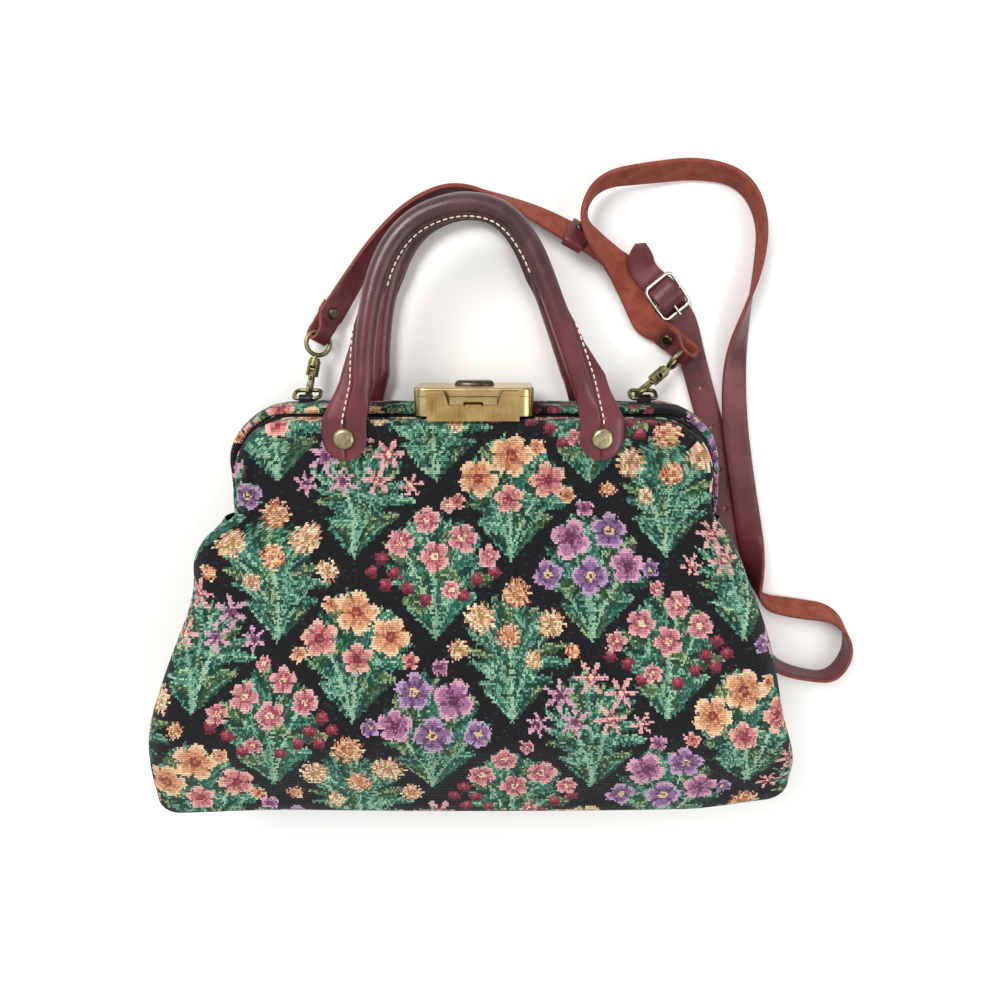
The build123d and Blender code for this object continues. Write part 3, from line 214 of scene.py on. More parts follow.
FLOWERS = (
    (
        (0, 18, 11.4), (-19, 5, 9.6), (17, 6, 10.6), (1, -5, 8.0), (-29, -3, 4.6),
        (28, -6, 4.6), (-13, 22, 4.6),
    ),
    (
        (-2, 27, 8.4), (-20, 12, 8.0), (17, 15, 8.6), (2, 6, 7.0), (28, -1, 6.0),
        (-11, -6, 5.0), (-31, -2, 4.6),
    ),
    (
        (-14, 13, 7.8), (5, 22, 7.2), (0, 4, 7.8), (17, 11, 7.2), (-27, 4, 5.8),
        (-8, -12, 5.0), (-6, 30, 4.2),
    ),
    (
        (-11, 14, 10.4), (9, 18, 9.6), (-1, -4, 9.8), (18, 1, 9.0), (-23, -3, 7.6),
        (30, 0, 4.8), (-4, 30, 4.8),
    ),
    (
        (0, 25, 9.0), (-16, 16, 8.8), (16, 17, 8.8), (-8, 3, 8.2), (10, 4, 8.6),
        (-27, 2, 6.6), (27, 1, 6.4),
    ),
)
BERRIES = (
    (20, -4), (26, 3), (14, -11), (-21, -7), (-14, -15), (5, -17), (31, -3), (-30, -3), (25, -10),
)
BERRY = 3.2


def posy(weave, x, y, kind, flip):
    """One bunch of flowers on its leaves, filling a diamond of the lattice."""
    narrow = 3.2 if kind in (1, 4) else 4.9
    weave.middle = (x, y)
    leaf_fan(weave, x, y + 4, 20, 160, 10, 29, narrow, kind)
    leaf_fan(weave, x, y - 6, -4, 184, 11, 34, narrow, kind + 1)
    leaf_fan(weave, x, y - 35, 47, 133, 7, 31, narrow, kind + 2)
    leaf_fan(weave, x, y - 18, 4, 176, 7, 25, narrow, kind + 3)
    leaf_fan(weave, x, y - 4, 200, 340, 6, 20, narrow - 0.4, kind)
    for n, (dx, dy, size) in enumerate(FLOWERS[kind][:5]):
        tint = (MID_LEAF, PALE_LEAF)[n % 2][2]
        weave.stem(x, y - 36, x + dx * flip, y + dy, 0.006 * dx * flip, tint)
    if kind == 2:
        for dx, dy in BERRIES:
            weave.berry(x + dx * flip, y + dy, BERRY)
    for n, (dx, dy, size) in enumerate(FLOWERS[kind]):
        px = x + dx * flip
        py = y + dy
        if kind == 0:
            weave.bloom(px, py, size, 5, 0.7 * n, ROSES if n % 2 else PEACHES)
        if kind == 1:
            weave.tuft(px, py, size, 0.5 * n, GOLDS if n % 3 else PEACHES)
        if kind == 2:
            weave.bloom(px, py, size, 5, 0.9 * n, PINKS)
        if kind == 3:
            weave.bloom(px, py, size, 4 + n % 2, 0.6 * n + 0.4, PURPLES if n % 3 else MAUVES)
        if kind == 4:
            weave.star(px, py, size, 6, 0.5 * n, MAUVES if n % 2 else PINKS)


def paint(u, v):
    """The figure: posies in a half-drop lattice, with bands of dark ground between."""
    weave = Weave(u, v)
    low_j = int(math.floor((v.min() - 40) / SPRAY_STEP_Y))
    high_j = int(math.ceil((v.max() + 40) / SPRAY_STEP_Y))
    low_i = int(math.floor((u.min() - 80) / SPRAY_STEP_X))
    high_i = int(math.ceil((u.max() + 80) / SPRAY_STEP_X))
    for j in range(low_j, high_j + 1):
        for i in range(low_i, high_i + 1):
            chance = np.random.default_rng(9000 + i * 97 + j * 31)
            x = (i + 0.5 * (j % 2)) * SPRAY_STEP_X + 20 + chance.uniform(-1.5, 1.5)
            y = j * SPRAY_STEP_Y + 14 + chance.uniform(-1.5, 1.5)
            posy(weave, x, y, (2 * j + i) % 5, 1 if (i + j) % 2 else -1)
    return weave.finished()


def plug(tree, node, inputs):
    """Links sockets to a node's inputs and sets plain values on them."""
    for key, value in inputs.items():
        if isinstance(value, bpy.types.NodeSocket):
            tree.links.new(value, node.inputs[key])
        else:
            node.inputs[key].default_value = value


def add_node(tree, kind, inputs=None, **settings):
    node = tree.nodes.new(kind)
    for key, value in settings.items():
        setattr(node, key, value)
    plug(tree, node, inputs or {})
    return node


def new_material(name):
    material = bpy.data.materials.new(name)
    material.use_nodes = True
    tree = material.node_tree
    shader = tree.nodes["Principled BSDF"]
    return material, tree, shader


def mixed(tree, factor, a, b, blend="MIX"):
    inputs = {0: factor, 6: a, 7: b}
    return add_node(tree, "ShaderNodeMix", inputs, data_type="RGBA", blend_type=blend).outputs[2]


def ranged(tree, value, low, high, to_low=0.0, to_high=1.0):
    node = add_node(
        tree, "ShaderNodeMapRange",
        {"Value": value, "From Min": low, "From Max": high, "To Min": to_low, "To Max": to_high},
    )
    return node.outputs[0]


def bump(tree, height, distance, strength=1.0, normal=None):
    inputs = {"Height": height, "Distance": distance, "Strength": strength}
    if normal is not None:
        inputs["Normal"] = normal
    return add_node(tree, "ShaderNodeBump", inputs).outputs[0]


def noise(tree, vector, scale, detail=3.0, rough=0.55):
    node = add_node(
        tree, "ShaderNodeTexNoise",
        {"Vector": vector, "Scale": scale, "Detail": detail, "Roughness": rough},
    )
    return node.outputs[0]


def object_coords(tree):
    return add_node(tree, "ShaderNodeTexCoord").outputs["Object"]


def tapestry_material():
    material, tree, shader = new_material("tapestry")
    stitch = add_node(tree, "ShaderNodeAttribute", attribute_name="stitch").outputs["Color"]
    place = object_coords(tree)
    flat = add_node(tree, "ShaderNodeUVMap", uv_map="cloth").outputs[0]
    cell = add_node(tree, "ShaderNodeSeparateXYZ", {0: flat})

    def waves(across, pitch):
        turns = {0: across, 1: 2 * math.pi / (pitch * MM)}
        angle = add_node(tree, "ShaderNodeMath", turns, operation="MULTIPLY").outputs[0]
        return add_node(tree, "ShaderNodeMath", {0: angle}, operation="COSINE").outputs[0]

    rib = waves(cell.outputs[1], STITCH_TALL)
    yarn = waves(cell.outputs[0], STITCH_WIDE)
    pull = noise(tree, place, 900.0, 2.0)
    hairs = noise(tree, place, 3200.0, 3.0, 0.7)
    ribs = ranged(tree, rib, -1.0, 1.0, 1.0, 0.0)
    yarns = ranged(tree, yarn, -1.0, 1.0, 1.0, 0.55)
    weave = add_node(tree, "ShaderNodeMath", {0: ribs, 1: yarns}, operation="MULTIPLY").outputs[0]
    # Painted shade: the stitch colour is darkened in the grooves between ribs and yarns and lightened
    # on their crests.
    shade = ranged(tree, weave, 0.0, 0.9, 0.62, 1.12)
    tone = mixed(tree, 1.0, stitch, shade, "MULTIPLY")
    drift = ranged(tree, noise(tree, place, 30.0, 3.0), 0.3, 0.7, 0.9, 1.08)
    tone = mixed(tree, 1.0, tone, drift, "MULTIPLY")
    first = bump(tree, pull, 0.0005, 0.35)
    second = bump(tree, weave, 0.0006, 0.75, first)
    plug(tree, shader, {
        "Base Color": tone,
        "Roughness": 0.88,
        "Specular IOR Level": 0.25,
        "Sheen Weight": 0.06,
        "Sheen Roughness": 0.5,
        "Normal": bump(tree, hairs, 0.00015, 0.5, second),
    })
    return material


tapestry = tapestry_material()


def corner_points(mesh):
    corner = np.empty(len(mesh.loops), dtype=np.int32)
    mesh.loops.foreach_get("vertex_index", corner)
    return corner


def woven(piece, flat):
    """Gives each face of a cloth piece the colour of its stitch; flat is each point's place."""
    mesh = piece.data
    corner = corner_points(mesh)
    start = np.empty(len(mesh.polygons), dtype=np.int32)
    mesh.polygons.foreach_get("loop_start", start)
    count = np.empty(len(mesh.polygons), dtype=np.int32)
    mesh.polygons.foreach_get("loop_total", count)
    flat = np.asarray(flat, dtype=float)
    middle = np.add.reduceat(flat[corner], start) / count[:, None]
    colours = paint(middle[:, 0], middle[:, 1])
    layer = mesh.color_attributes.new("stitch", "FLOAT_COLOR", "CORNER")
    face_of = np.repeat(np.arange(len(count)), count)
    rgba = np.ones((len(corner), 4), dtype=np.float32)
    rgba[:, :3] = colours[face_of]
    layer.data.foreach_set("color", rgba.ravel())


# Front of the bag
# One width of tapestry, padded along its edge and folded over the front half of the frame. It is
# slack: it sags between frame and base, and dents where the frame's corners push it.
BAG_DROP = 164.0
TOP_HALF = 128.0
FRONT_SPREAD = 40.5
DEPTH_TOP = 52.0
DEPTH_GROWTH = 39.0
FRAME_FRONT = 50.4
FRONT_HALF = 124.0
FRONT_TOP = 48.5
FRONT_CORNER = 29.0
CORNER_Y = FRONT_TOP - FRONT_CORNER
CORNER_X = FRONT_HALF - FRONT_CORNER


def link_object(name, mesh, material):
    piece = bpy.data.objects.new(name, mesh)
    bpy.context.scene.collection.objects.link(piece)
    if material is not None:
        mesh.materials.append(material)
    return piece


def grid_faces(rows, columns, wrap=False, start=0):
    faces = []
    for j in range(rows - 1):
        for i in range(columns if wrap else columns - 1):
            k = (i + 1) % columns
            faces.append((
                start + j * columns + i,
                start + j * columns + k,
                start + (j + 1) * columns + k,
                start + (j + 1) * columns + i,
            ))
    return faces


def surface(name, points, faces, material, cloth=None):
    """A mesh object from points in millimetres; cloth holds a point's place on the flat cloth."""
    mesh = bpy.data.meshes.new(name)
    mesh.from_pydata((np.asarray(points, dtype=float) * MM).tolist(), [], faces)
    mesh.update()
    if cloth is not None:
        layer = mesh.uv_layers.new(name="cloth")
        places = np.asarray(cloth, dtype=float)[corner_points(mesh)]
        layer.data.foreach_set("uv", (places * MM).ravel())
    mesh.polygons.foreach_set("use_smooth", [True] * len(mesh.polygons))
    return link_object(name, mesh, material)


def outward(piece):
    work = bmesh.new()
    work.from_mesh(piece.data)
    bmesh.ops.recalc_face_normals(work, faces=work.faces)
    work.to_mesh(piece.data)
    work.free()
    return piece


def ease(value, low, high):
    t = np.clip((np.asarray(value, dtype=float) - low) / (high - low), 0.0, 1.0)
    return t * t * (3 - 2 * t)


def body_half(y):
    drop = np.clip(-np.asarray(y, dtype=float) / BAG_DROP, 0, 1)
    full = TOP_HALF + FRONT_SPREAD * (1 - (1 - drop) ** 2.4)
    top = ease(y, -14, 8)
    return full * (1 - top) + FRONT_HALF * top


DENTS = (  # middle, direction, length, width and height of each hollow or swell
    (101, 7, -1.0, 22, 7, -2.6),
    (-103, 2, 1.1, 20, 7, -2.0),
    (64, -8, -1.4, 30, 9, -1.3),
    (-66, -4, 1.5, 32, 9, -1.3),
    (0, -20, 0.0, 60, 14, -1.2),
    (-118, -70, 1.25, 40, 10, -1.8),
    (124, -62, -1.2, 44, 10, -2.0),
    (40, -96, 0.3, 46, 16, 1.2),
    (-50, -88, -0.25, 50, 18, 1.3),
    (-6, -132, 0.05, 80, 12, -1.1),
    (96, -118, -0.8, 36, 9, -1.0),
    (-98, -124, 0.8, 36, 9, -1.0),
)


def dents(x, y):
    """Soft hollows and pulls of the slack front, in millimetres of height."""
    x = np.asarray(x, dtype=float)
    y = np.asarray(y, dtype=float)
    low = np.zeros_like(x)
    for cx, cy, angle, long, wide, depth in DENTS:
        dx = x - cx
        dy = y - cy
        a = dx * math.cos(angle) + dy * math.sin(angle)
        b = -dx * math.sin(angle) + dy * math.cos(angle)
        low += depth * np.exp(-((a / long) ** 2 + (b / wide) ** 2))
    return low


def front_height(x, y):
    drop = np.clip(-np.asarray(y, dtype=float) / BAG_DROP, 0, 1)
    body = DEPTH_TOP + DEPTH_GROWTH * drop
    crown = (1.0 + 4.0 * drop) * (1 - (np.asarray(x, dtype=float) / (body_half(y) + 1)) ** 2)
    top = ease(y, -30, 2)
    base_roll = 1.6 * ease(-np.asarray(y, dtype=float), 140, 157)
    return (body + crown) * (1 - top) + FRAME_FRONT * top + dents(x, y) * (1 - 0.5 * top) - base_roll


def slack(points):
    """The empty base sinks a little and spreads at its sides."""
    spots = np.array(points, dtype=float)
    sink = ease(-spots[:, 1], 108, 162)
    spots[:, 2] *= 1 - 0.19 * sink
    spots[:, 1] += sink * (6 * ease(spots[:, 0], 110, 172) - 4 * ease(-spots[:, 0], 90, 172))
    left = 0.048 * ease(-spots[:, 1], 50, 118)
    left += 0.055 * np.exp(-((spots[:, 1] + 20) / 18) ** 2) * ease(-spots[:, 1], -1, 12)
    right = 0.026 * ease(-spots[:, 1], 104, 136)
    spots[:, 0] *= 1 + np.where(spots[:, 0] < 0, left, right)
    return spots


BASE_Y = -155.0
RIDGE_REACH = 11.0
ROUND_REACH = 14.0
side_rows = list(np.arange(BASE_Y, CORNER_Y, STITCH_TALL)) + [CORNER_Y]
corner_turns = [math.radians(90 * k / 16) for k in range(1, 17)]


def inner_reach(y):
    return RIDGE_REACH + (ROUND_REACH - RIDGE_REACH) * ease(-y, 6, 40)


def edge_points():
    """Where the front's flat part ends: (x, y, outward x, outward y, reach to the edge)."""
    left = []
    for y in side_rows:
        reach = float(inner_reach(y))
        left.append((-(float(body_half(y)) - reach), y, -1.0, 0.0, reach))
    r = FRONT_CORNER - RIDGE_REACH
    for turn in corner_turns:
        c = math.cos(turn)
        d = math.sin(turn)
        left.append((-CORNER_X - r * c, CORNER_Y + r * d, -c, d, RIDGE_REACH))
    return left


left_edge = edge_points()
COLUMNS = 388
front_points = []
front_flat = []
for x, y, *_ in left_edge:
    for i in range(COLUMNS + 1):
        px = x + (-x - x) * i / COLUMNS
        front_points.append((px, y, float(front_height(px, y))))
        front_flat.append((px, y))
front_faces = grid_faces(len(left_edge), COLUMNS + 1)
row_count = len(left_edge)
left_ids = [j * (COLUMNS + 1) for j in range(row_count)]
top_ids = [(row_count - 1) * (COLUMNS + 1) + i for i in range(1, COLUMNS)]
right_ids = [j * (COLUMNS + 1) + COLUMNS for j in reversed(range(row_count))]
rim_ids = left_ids + top_ids + right_ids
rim_ways = [(e[2], e[3], e[4]) for e in left_edge]
rim_ways += [(0.0, 1.0, RIDGE_REACH)] * len(top_ids)
rim_ways += [(-e[2], e[3], e[4]) for e in reversed(left_edge)]


EDGE_STEPS = 15
PIPING = 4.6
ARCH_FALL = -15.8
BODY_FALL = -14.5


def padded_edge(t, reach):
    """The padded ridge over the frame: first a crease and a swell, then the roll, then the side."""
    if t < 0.5:
        s = t / 0.5
        swell = 1.5 * math.sin(math.pi * min(1, s * 0.8))
        crease = 0.9 * math.sin(math.pi * min(1.0, s * 2.4)) * (1 - s)
        return (reach - PIPING) * s, swell - crease
    if t < 0.8:
        a = (t - 0.5) / 0.3 * math.pi / 2
        return reach - PIPING + PIPING * math.sin(a), 0.88 - 4.8 * (1 - math.cos(a))
    s = (t - 0.8) / 0.2
    return reach - 0.4 * math.sin(math.pi * s), -3.92 + (ARCH_FALL + 3.92) * s


def edge_profile(y, reach):
    """Steps of the turned edge: (outward, height change) from the flat part's end."""
    top = float(ease(y, -40, -6))
    steps = []
    for k in range(1, EDGE_STEPS + 1):
        t = k / EDGE_STEPS
        ridge = padded_edge(t, reach)
        a = t * math.pi / 2
        out = ROUND_REACH * math.sin(a)
        fall = -ROUND_REACH * (1 - math.cos(a)) + (BODY_FALL + ROUND_REACH) * t ** 6
        steps.append((ridge[0] * top + out * (1 - top) * reach / ROUND_REACH,
                      ridge[1] * top + fall * (1 - top)))
    return steps


last_ids = list(rim_ids)
last_place = [front_points[i] for i in rim_ids]
runs = [0.0] * len(rim_ids)
profiles = [edge_profile(front_points[i][1], w[2]) for i, w in zip(rim_ids, rim_ways)]
for k in range(EDGE_STEPS):
    new_ids = []
    for n, (i, way) in enumerate(zip(rim_ids, rim_ways)):
        out, rise = profiles[n][k]
        base = front_points[i]
        puff = 0.5 * math.sin(base[1] * 0.09 + 1.0) * math.sin(math.pi * k / EDGE_STEPS)
        puff = puff * float(ease(-base[1], 10, 60))
        point = (base[0] + way[0] * (out + puff), base[1] + way[1] * (out + puff), base[2] + rise)
        runs[n] += math.dist(point, last_place[n])
        last_place[n] = point
        new_ids.append(len(front_points))
        front_points.append(point)
        front_flat.append((base[0] + way[0] * runs[n], base[1] + way[1] * runs[n]))
    for n in range(len(rim_ids) - 1):
        front_faces.append((last_ids[n], last_ids[n + 1], new_ids[n + 1], new_ids[n]))
    last_ids = new_ids
rim_low = [front_points[i] for i in last_ids]
front_cloth = surface("bag_front_cloth", slack(front_points), front_faces, tapestry, front_flat)
outward(front_cloth)
woven(front_cloth, front_flat)
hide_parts("front_panel", "front_panel_top")
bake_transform(front_cloth)


# Gussets and back
# The same tapestry, seamed to the front along its turned edge. The loop that it makes is cut at the
# back corners; the back lies flat on the table and rises a little to the rear half of the frame.
GUSSET_SPREAD = 37.5
GUSSET_SWELL = 2.6
BACK_LEVEL = 0.15
BACK_TOP_CORNER = 34.0


def gusset_half(y):
    drop = max(0.0, -y / BAG_DROP)
    swell = GUSSET_SWELL * float(ease(-y, 30, 110))
    wide = TOP_HALF + GUSSET_SPREAD * (1 - (1 - drop) ** 1.8) + swell
    return max(wide, 132.4) if y > -14 else wide


BACK_CORNER = 14.0
GUSSET_STEPS = 56
CORNER_STEPS = 12
BACK_COLUMNS = 250
shell_rows = [y for y in side_rows if y < -9.0] + [-8.0]
seam_spots = {}
for n, i in enumerate(rim_ids):
    seam_spots[(round(front_points[i][1], 4), front_points[i][0] > 0)] = rim_low[n]


def shell_section(y):
    """Right half of gusset and back corner: (x, z) from the front seam to the flat back."""
    seam = seam_spots.get((round(y, 4), True))
    if seam is None:
        top_x, top_z = float(body_half(y)), float(front_height(120.0, y)) - 15.2
    else:
        top_x, top_z = seam[0], seam[2]
    wide = gusset_half(y)
    spots = []
    fold = 2.2 * float(ease(-y, 40, 120))
    for k in range(GUSSET_STEPS + 1):
        t = k / GUSSET_STEPS
        reach = top_x + (wide - top_x) * float(ease(t, 0.0, 0.55))
        bulge = GUSSET_SWELL * math.sin(math.pi * t) - fold * math.exp(-((t - 0.45) / 0.13) ** 2)
        wave = 0.5 * math.sin(y * 0.11 + 4 * t) * math.sin(math.pi * t)
        spots.append((reach + bulge + wave, top_z + (BACK_CORNER - top_z) * t))
    for k in range(1, CORNER_STEPS + 1):
        a = k / CORNER_STEPS * math.pi / 2
        height = BACK_LEVEL + BACK_CORNER * (1 - math.sin(a)) * 0.99
        spots.append((wide - BACK_CORNER * (1 - math.cos(a)), height))
    return spots


shell_points = []
shell_flat = []
for y in shell_rows:
    half = shell_section(y)
    flat_end = half[-1][0]
    loop = list(half)
    for k in range(1, BACK_COLUMNS):
        loop.append((flat_end * (1 - 2 * k / BACK_COLUMNS), BACK_LEVEL))
    loop += [(-x, z) for x, z in reversed(half)]
    run = 0.0
    last = loop[0]
    for x, z in loop:
        run += math.dist((x, z), last)
        last = (x, z)
        shell_points.append((x, y, z))
        shell_flat.append((run + 180.0, y))
shell_columns = 2 * len(half) + BACK_COLUMNS - 1
gusset_columns = GUSSET_STEPS + 1
shell_array = np.array(shell_points).reshape(len(shell_rows), shell_columns, 3)
flat_array = np.array(shell_flat).reshape(len(shell_rows), shell_columns, 2)
for name, low, high in (
    ("right_gusset", 0, gusset_columns),
    ("left_gusset", shell_columns - gusset_columns, shell_columns),
    ("back_panel", gusset_columns - 1, shell_columns - gusset_columns + 1),
):
    part = shell_array[:, low:high].reshape(-1, 3).tolist()
    place = flat_array[:, low:high].reshape(-1, 2).tolist()
    rows = len(shell_rows)
    columns = high - low
    faces = grid_faces(rows, columns)
    if name == "back_panel":
        top_rows = list(np.arange(-6.9, 49.5, 1.1)) + [50.0]
        first = (rows - 1) * columns
        for y in top_rows:
            corner = max(0.0, y - 16.0)
            half = 96.0 + math.sqrt(max(0.0, BACK_TOP_CORNER ** 2 - corner ** 2))
            z = BACK_LEVEL + 4.2 * float(ease(y, 2, 27))
            for i in range(columns):
                x = half * (1 - 2 * i / (columns - 1))
                part.append((x, y, z))
                place.append((180 + i, y))
        faces += grid_faces(len(top_rows) + 1, columns, start=first)
    piece = outward(surface("bag_" + name, slack(part), faces, tapestry, place))
    woven(piece, place)
    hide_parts(name)
    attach(piece, "bag")


# Base
# The bottom panel of the same tapestry, sewn to the open end of the body over a soft roll; it is
# slack like the front and sinks towards its middle.
front_row = [front_points[i] for i in range(COLUMNS + 1)]
turned = len(rim_ids)
first_wrap = (COLUMNS + 1) * row_count
right_wrap = [front_points[first_wrap + k * turned + turned - 1] for k in range(EDGE_STEPS)]
left_wrap = [front_points[first_wrap + k * turned] for k in range(EDGE_STEPS)]
base_loop = [(p[0], p[2]) for p in front_row + right_wrap[:-1]]
base_loop += [(p[0], p[2]) for p in shell_points[:shell_columns]]
base_loop += [(p[0], p[2]) for p in reversed(left_wrap[:-1])]
base_loop = np.array(base_loop)
ahead = np.roll(base_loop, -1, axis=0) - np.roll(base_loop, 1, axis=0)
length = np.linalg.norm(ahead, axis=1, keepdims=True)
ahead = ahead / np.maximum(length, 1e-6)
inward = np.stack([ahead[:, 1], -ahead[:, 0]], axis=1)
if np.sum(inward * (np.array([0.0, 45.0]) - base_loop)) < 0:
    inward = -inward
for _ in range(6):
    inward = (np.roll(inward, 1, axis=0) + 2 * inward + np.roll(inward, -1, axis=0)) / 4
inward = inward / np.linalg.norm(inward, axis=1, keepdims=True)
BASE_ROLL = 8.6
base_points = []
base_flat = []
ROLL_STEPS = 8
SUNK_STEPS = 24
for k in range(ROLL_STEPS + 1):
    a = k / ROLL_STEPS * math.pi / 2
    ring = base_loop + inward * (BASE_ROLL * (1 - math.cos(a)))
    y = BASE_Y - BASE_ROLL * math.sin(a)
    base_points += [(x, y, max(0.12, z)) for x, z in ring]
    base_flat += [(p[0], BASE_Y - BASE_ROLL * a) for p in base_loop]
middle = np.stack([np.clip(ring[:, 0], -128, 128), np.full(len(ring), 44.0)], axis=1)
for k in range(1, SUNK_STEPS + 1):
    part = k / SUNK_STEPS
    inner = ring + (middle - ring) * part
    y = BASE_Y - BASE_ROLL - 0.7 * math.sin(part * math.pi / 2)
    base_points += [(x, y, z) for x, z in inner]
    base_flat += [(x, BASE_Y - BASE_ROLL * 1.57 - 44 * part) for x, z in inner]
base_faces = grid_faces(ROLL_STEPS + 1 + SUNK_STEPS, len(base_loop), wrap=True)
base_cloth = outward(surface("bag_base_cloth", slack(base_points), base_faces, tapestry, base_flat))
woven(base_cloth, base_flat)
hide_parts("base_panel")
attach(base_cloth, "bag")


# Rim
# A padded tube of tapestry, sewn over the rear half of the frame and left open where the lock
# stands; a narrow strip of it runs on below the lock.
RIM_HALF = 132.5
RIM_TOP = 54.5
RIM_CORNER = 34.0
LOCK_GAP = 31.4


def rim_path(step):
    spots = []
    cx = RIM_HALF - RIM_CORNER
    cy = RIM_TOP - RIM_CORNER
    for y in np.arange(-11.0, cy, step):
        spots.append((-RIM_HALF, float(y), -1.0, 0.0))
    count = int(RIM_CORNER * math.pi / 2 / step)
    for k in range(count):
        a = math.pi - k / count * math.pi / 2
        c = math.cos(a)
        d = math.sin(a)
        spots.append((-cx + RIM_CORNER * c, cy + RIM_CORNER * d, c, d))
    for x in np.append(np.arange(-cx, -LOCK_GAP, step), -LOCK_GAP):
        spots.append((float(x), RIM_TOP, 0.0, 1.0))
    return spots


RIM_SECTION = [
    (-5.0, 10.0), (-4.9, 8.6), (-4.2, 7.5), (-3.0, 7.2), (-1.6, 7.9), (-0.6, 9.4), (-0.1, 11.5),
    (0.1, 14.0), (0.3, 17.0), (0.4, 20.0), (0.3, 23.0), (0.1, 26.0), (-0.2, 28.6), (-0.8, 30.8),
    (-1.8, 32.3), (-3.1, 33.0), (-4.2, 32.8), (-4.9, 31.8), (-5.0, 30.0), (-5.0, 25.0), (-5.0, 20.0),
    (-5.0, 15.0),
]
fine_section = []
for (out, z), (next_out, next_z) in zip(RIM_SECTION, RIM_SECTION[1:] + RIM_SECTION[:1]):
    pieces = max(1, round(math.dist((out, z), (next_out, next_z)) / STITCH_TALL))
    for k in range(pieces):
        fine_section.append((out + (next_out - out) * k / pieces, z + (next_z - z) * k / pieces))
rim_points = []
rim_flat = []
rim_faces = []
left_rim = rim_path(STITCH_WIDE)
for sign in (1, -1):
    start = len(rim_points)
    for n, (x, y, nx, ny) in enumerate(left_rim):
        run = n * STITCH_WIDE
        wave = 0.45 * math.sin(run * 0.16 + sign) * math.sin(run * 0.043)
        around = 0.0
        last = fine_section[0]
        for out, z in fine_section:
            around += math.dist((out, z), last)
            last = (out, z)
            soft = wave if out > -4.0 else 0.0
            reach = out + soft
            rim_points.append((sign * (x + nx * reach), y + ny * reach, z))
            rim_flat.append((sign * (run + 20), around + 60))
    rim_faces += grid_faces(len(left_rim), len(fine_section), wrap=True, start=start)
    for n in (0, len(left_rim) - 1):
        rim_faces.append(tuple(start + n * len(fine_section) + i for i in range(len(fine_section))))
low_start = len(rim_points)
STRIP_SECTION = (
    (-5.0, 8.2), (-4.0, 7.3), (-2.0, 7.3), (-0.8, 8.6), (-0.4, 11.0), (-1.2, 11.7), (-5.0, 11.7),
)
STRIP_STEPS = 61
for x in np.linspace(-LOCK_GAP, LOCK_GAP, STRIP_STEPS):
    for out, z in STRIP_SECTION:
        rim_points.append((float(x), RIM_TOP + out, z))
        rim_flat.append((float(x), z + out))
rim_faces += grid_faces(STRIP_STEPS, len(STRIP_SECTION), wrap=True, start=low_start)
rim_cloth = outward(surface("bag_rim_cloth", rim_points, rim_faces, tapestry, rim_flat))
woven(rim_cloth, rim_flat)
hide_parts("back_frame_cover")
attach(rim_cloth, "bag")


# Lining
# Plain dark cotton in a pouch that hangs a little loose inside the tapestry, with a flat upper
# part that is sewn to the rear half of the frame.
def lining_material():
    material, tree, shader = new_material("lining_cloth")
    place = object_coords(tree)
    tint = noise(tree, place, 60.0, 3.0)
    wrinkle = bump(tree, noise(tree, place, 90.0, 4.0), 0.001, 0.5)
    threads = noise(tree, place, 2400.0, 2.0)
    plug(tree, shader, {
        "Base Color": mixed(tree, tint, linear("#1E1A22"), linear("#35303A")),
        "Roughness": 0.9,
        "Sheen Weight": 0.1,
        "Normal": bump(tree, threads, 0.0002, 0.5, wrinkle),
    })
    return material


lining_points = []
lining_rows = [-158.0, -155.0] + list(np.arange(-150.0, -22.0, 8.0)) + [-21.0]
LINING_COLUMNS = 96
SHEET_COLUMNS = 49
for y in lining_rows:
    wide = gusset_half(y) - 5.0
    high = DEPTH_TOP + DEPTH_GROWTH * (-y / BAG_DROP) - 4.6
    low = 3.4
    tuck = 6.0 * (1 - float(ease(y, -158, -150)))
    for k in range(LINING_COLUMNS):
        a = 2 * math.pi * k / LINING_COLUMNS
        c = math.copysign(abs(math.cos(a)) ** 0.34, math.cos(a))
        s = math.copysign(abs(math.sin(a)) ** 0.34, math.sin(a))
        ripple = 0.6 * math.sin(5 * a + y * 0.07)
        lining_points.append((
            (wide - tuck - 1.5 + ripple) * c,
            y,
            (low + high) / 2 + ((high - low) / 2 - tuck - 1.2 + 0.5 * ripple) * s,
        ))
lining_faces = grid_faces(len(lining_rows), LINING_COLUMNS, wrap=True)
lining_faces.append(tuple(range(LINING_COLUMNS)))
sheet_start = len(lining_points)
sheet_rows = [-21.0, -12.0, -4.0, 3.0, 10.0, 18.0, 26.0, 33.0, 39.5]
for y in sheet_rows:
    z = 3.9 + 4.3 * float(ease(y, 2, 27))
    for i in range(SHEET_COLUMNS):
        x = -108.0 + 216.0 * i / (SHEET_COLUMNS - 1)
        lining_points.append((x, y, z + 0.25 * math.sin(x * 0.13) * math.sin(y * 0.2)))
lining_faces += grid_faces(len(sheet_rows), SHEET_COLUMNS, start=sheet_start)
lining = surface("bag_lining", slack(lining_points), lining_faces, lining_material())
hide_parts("lining")
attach(lining, "bag")


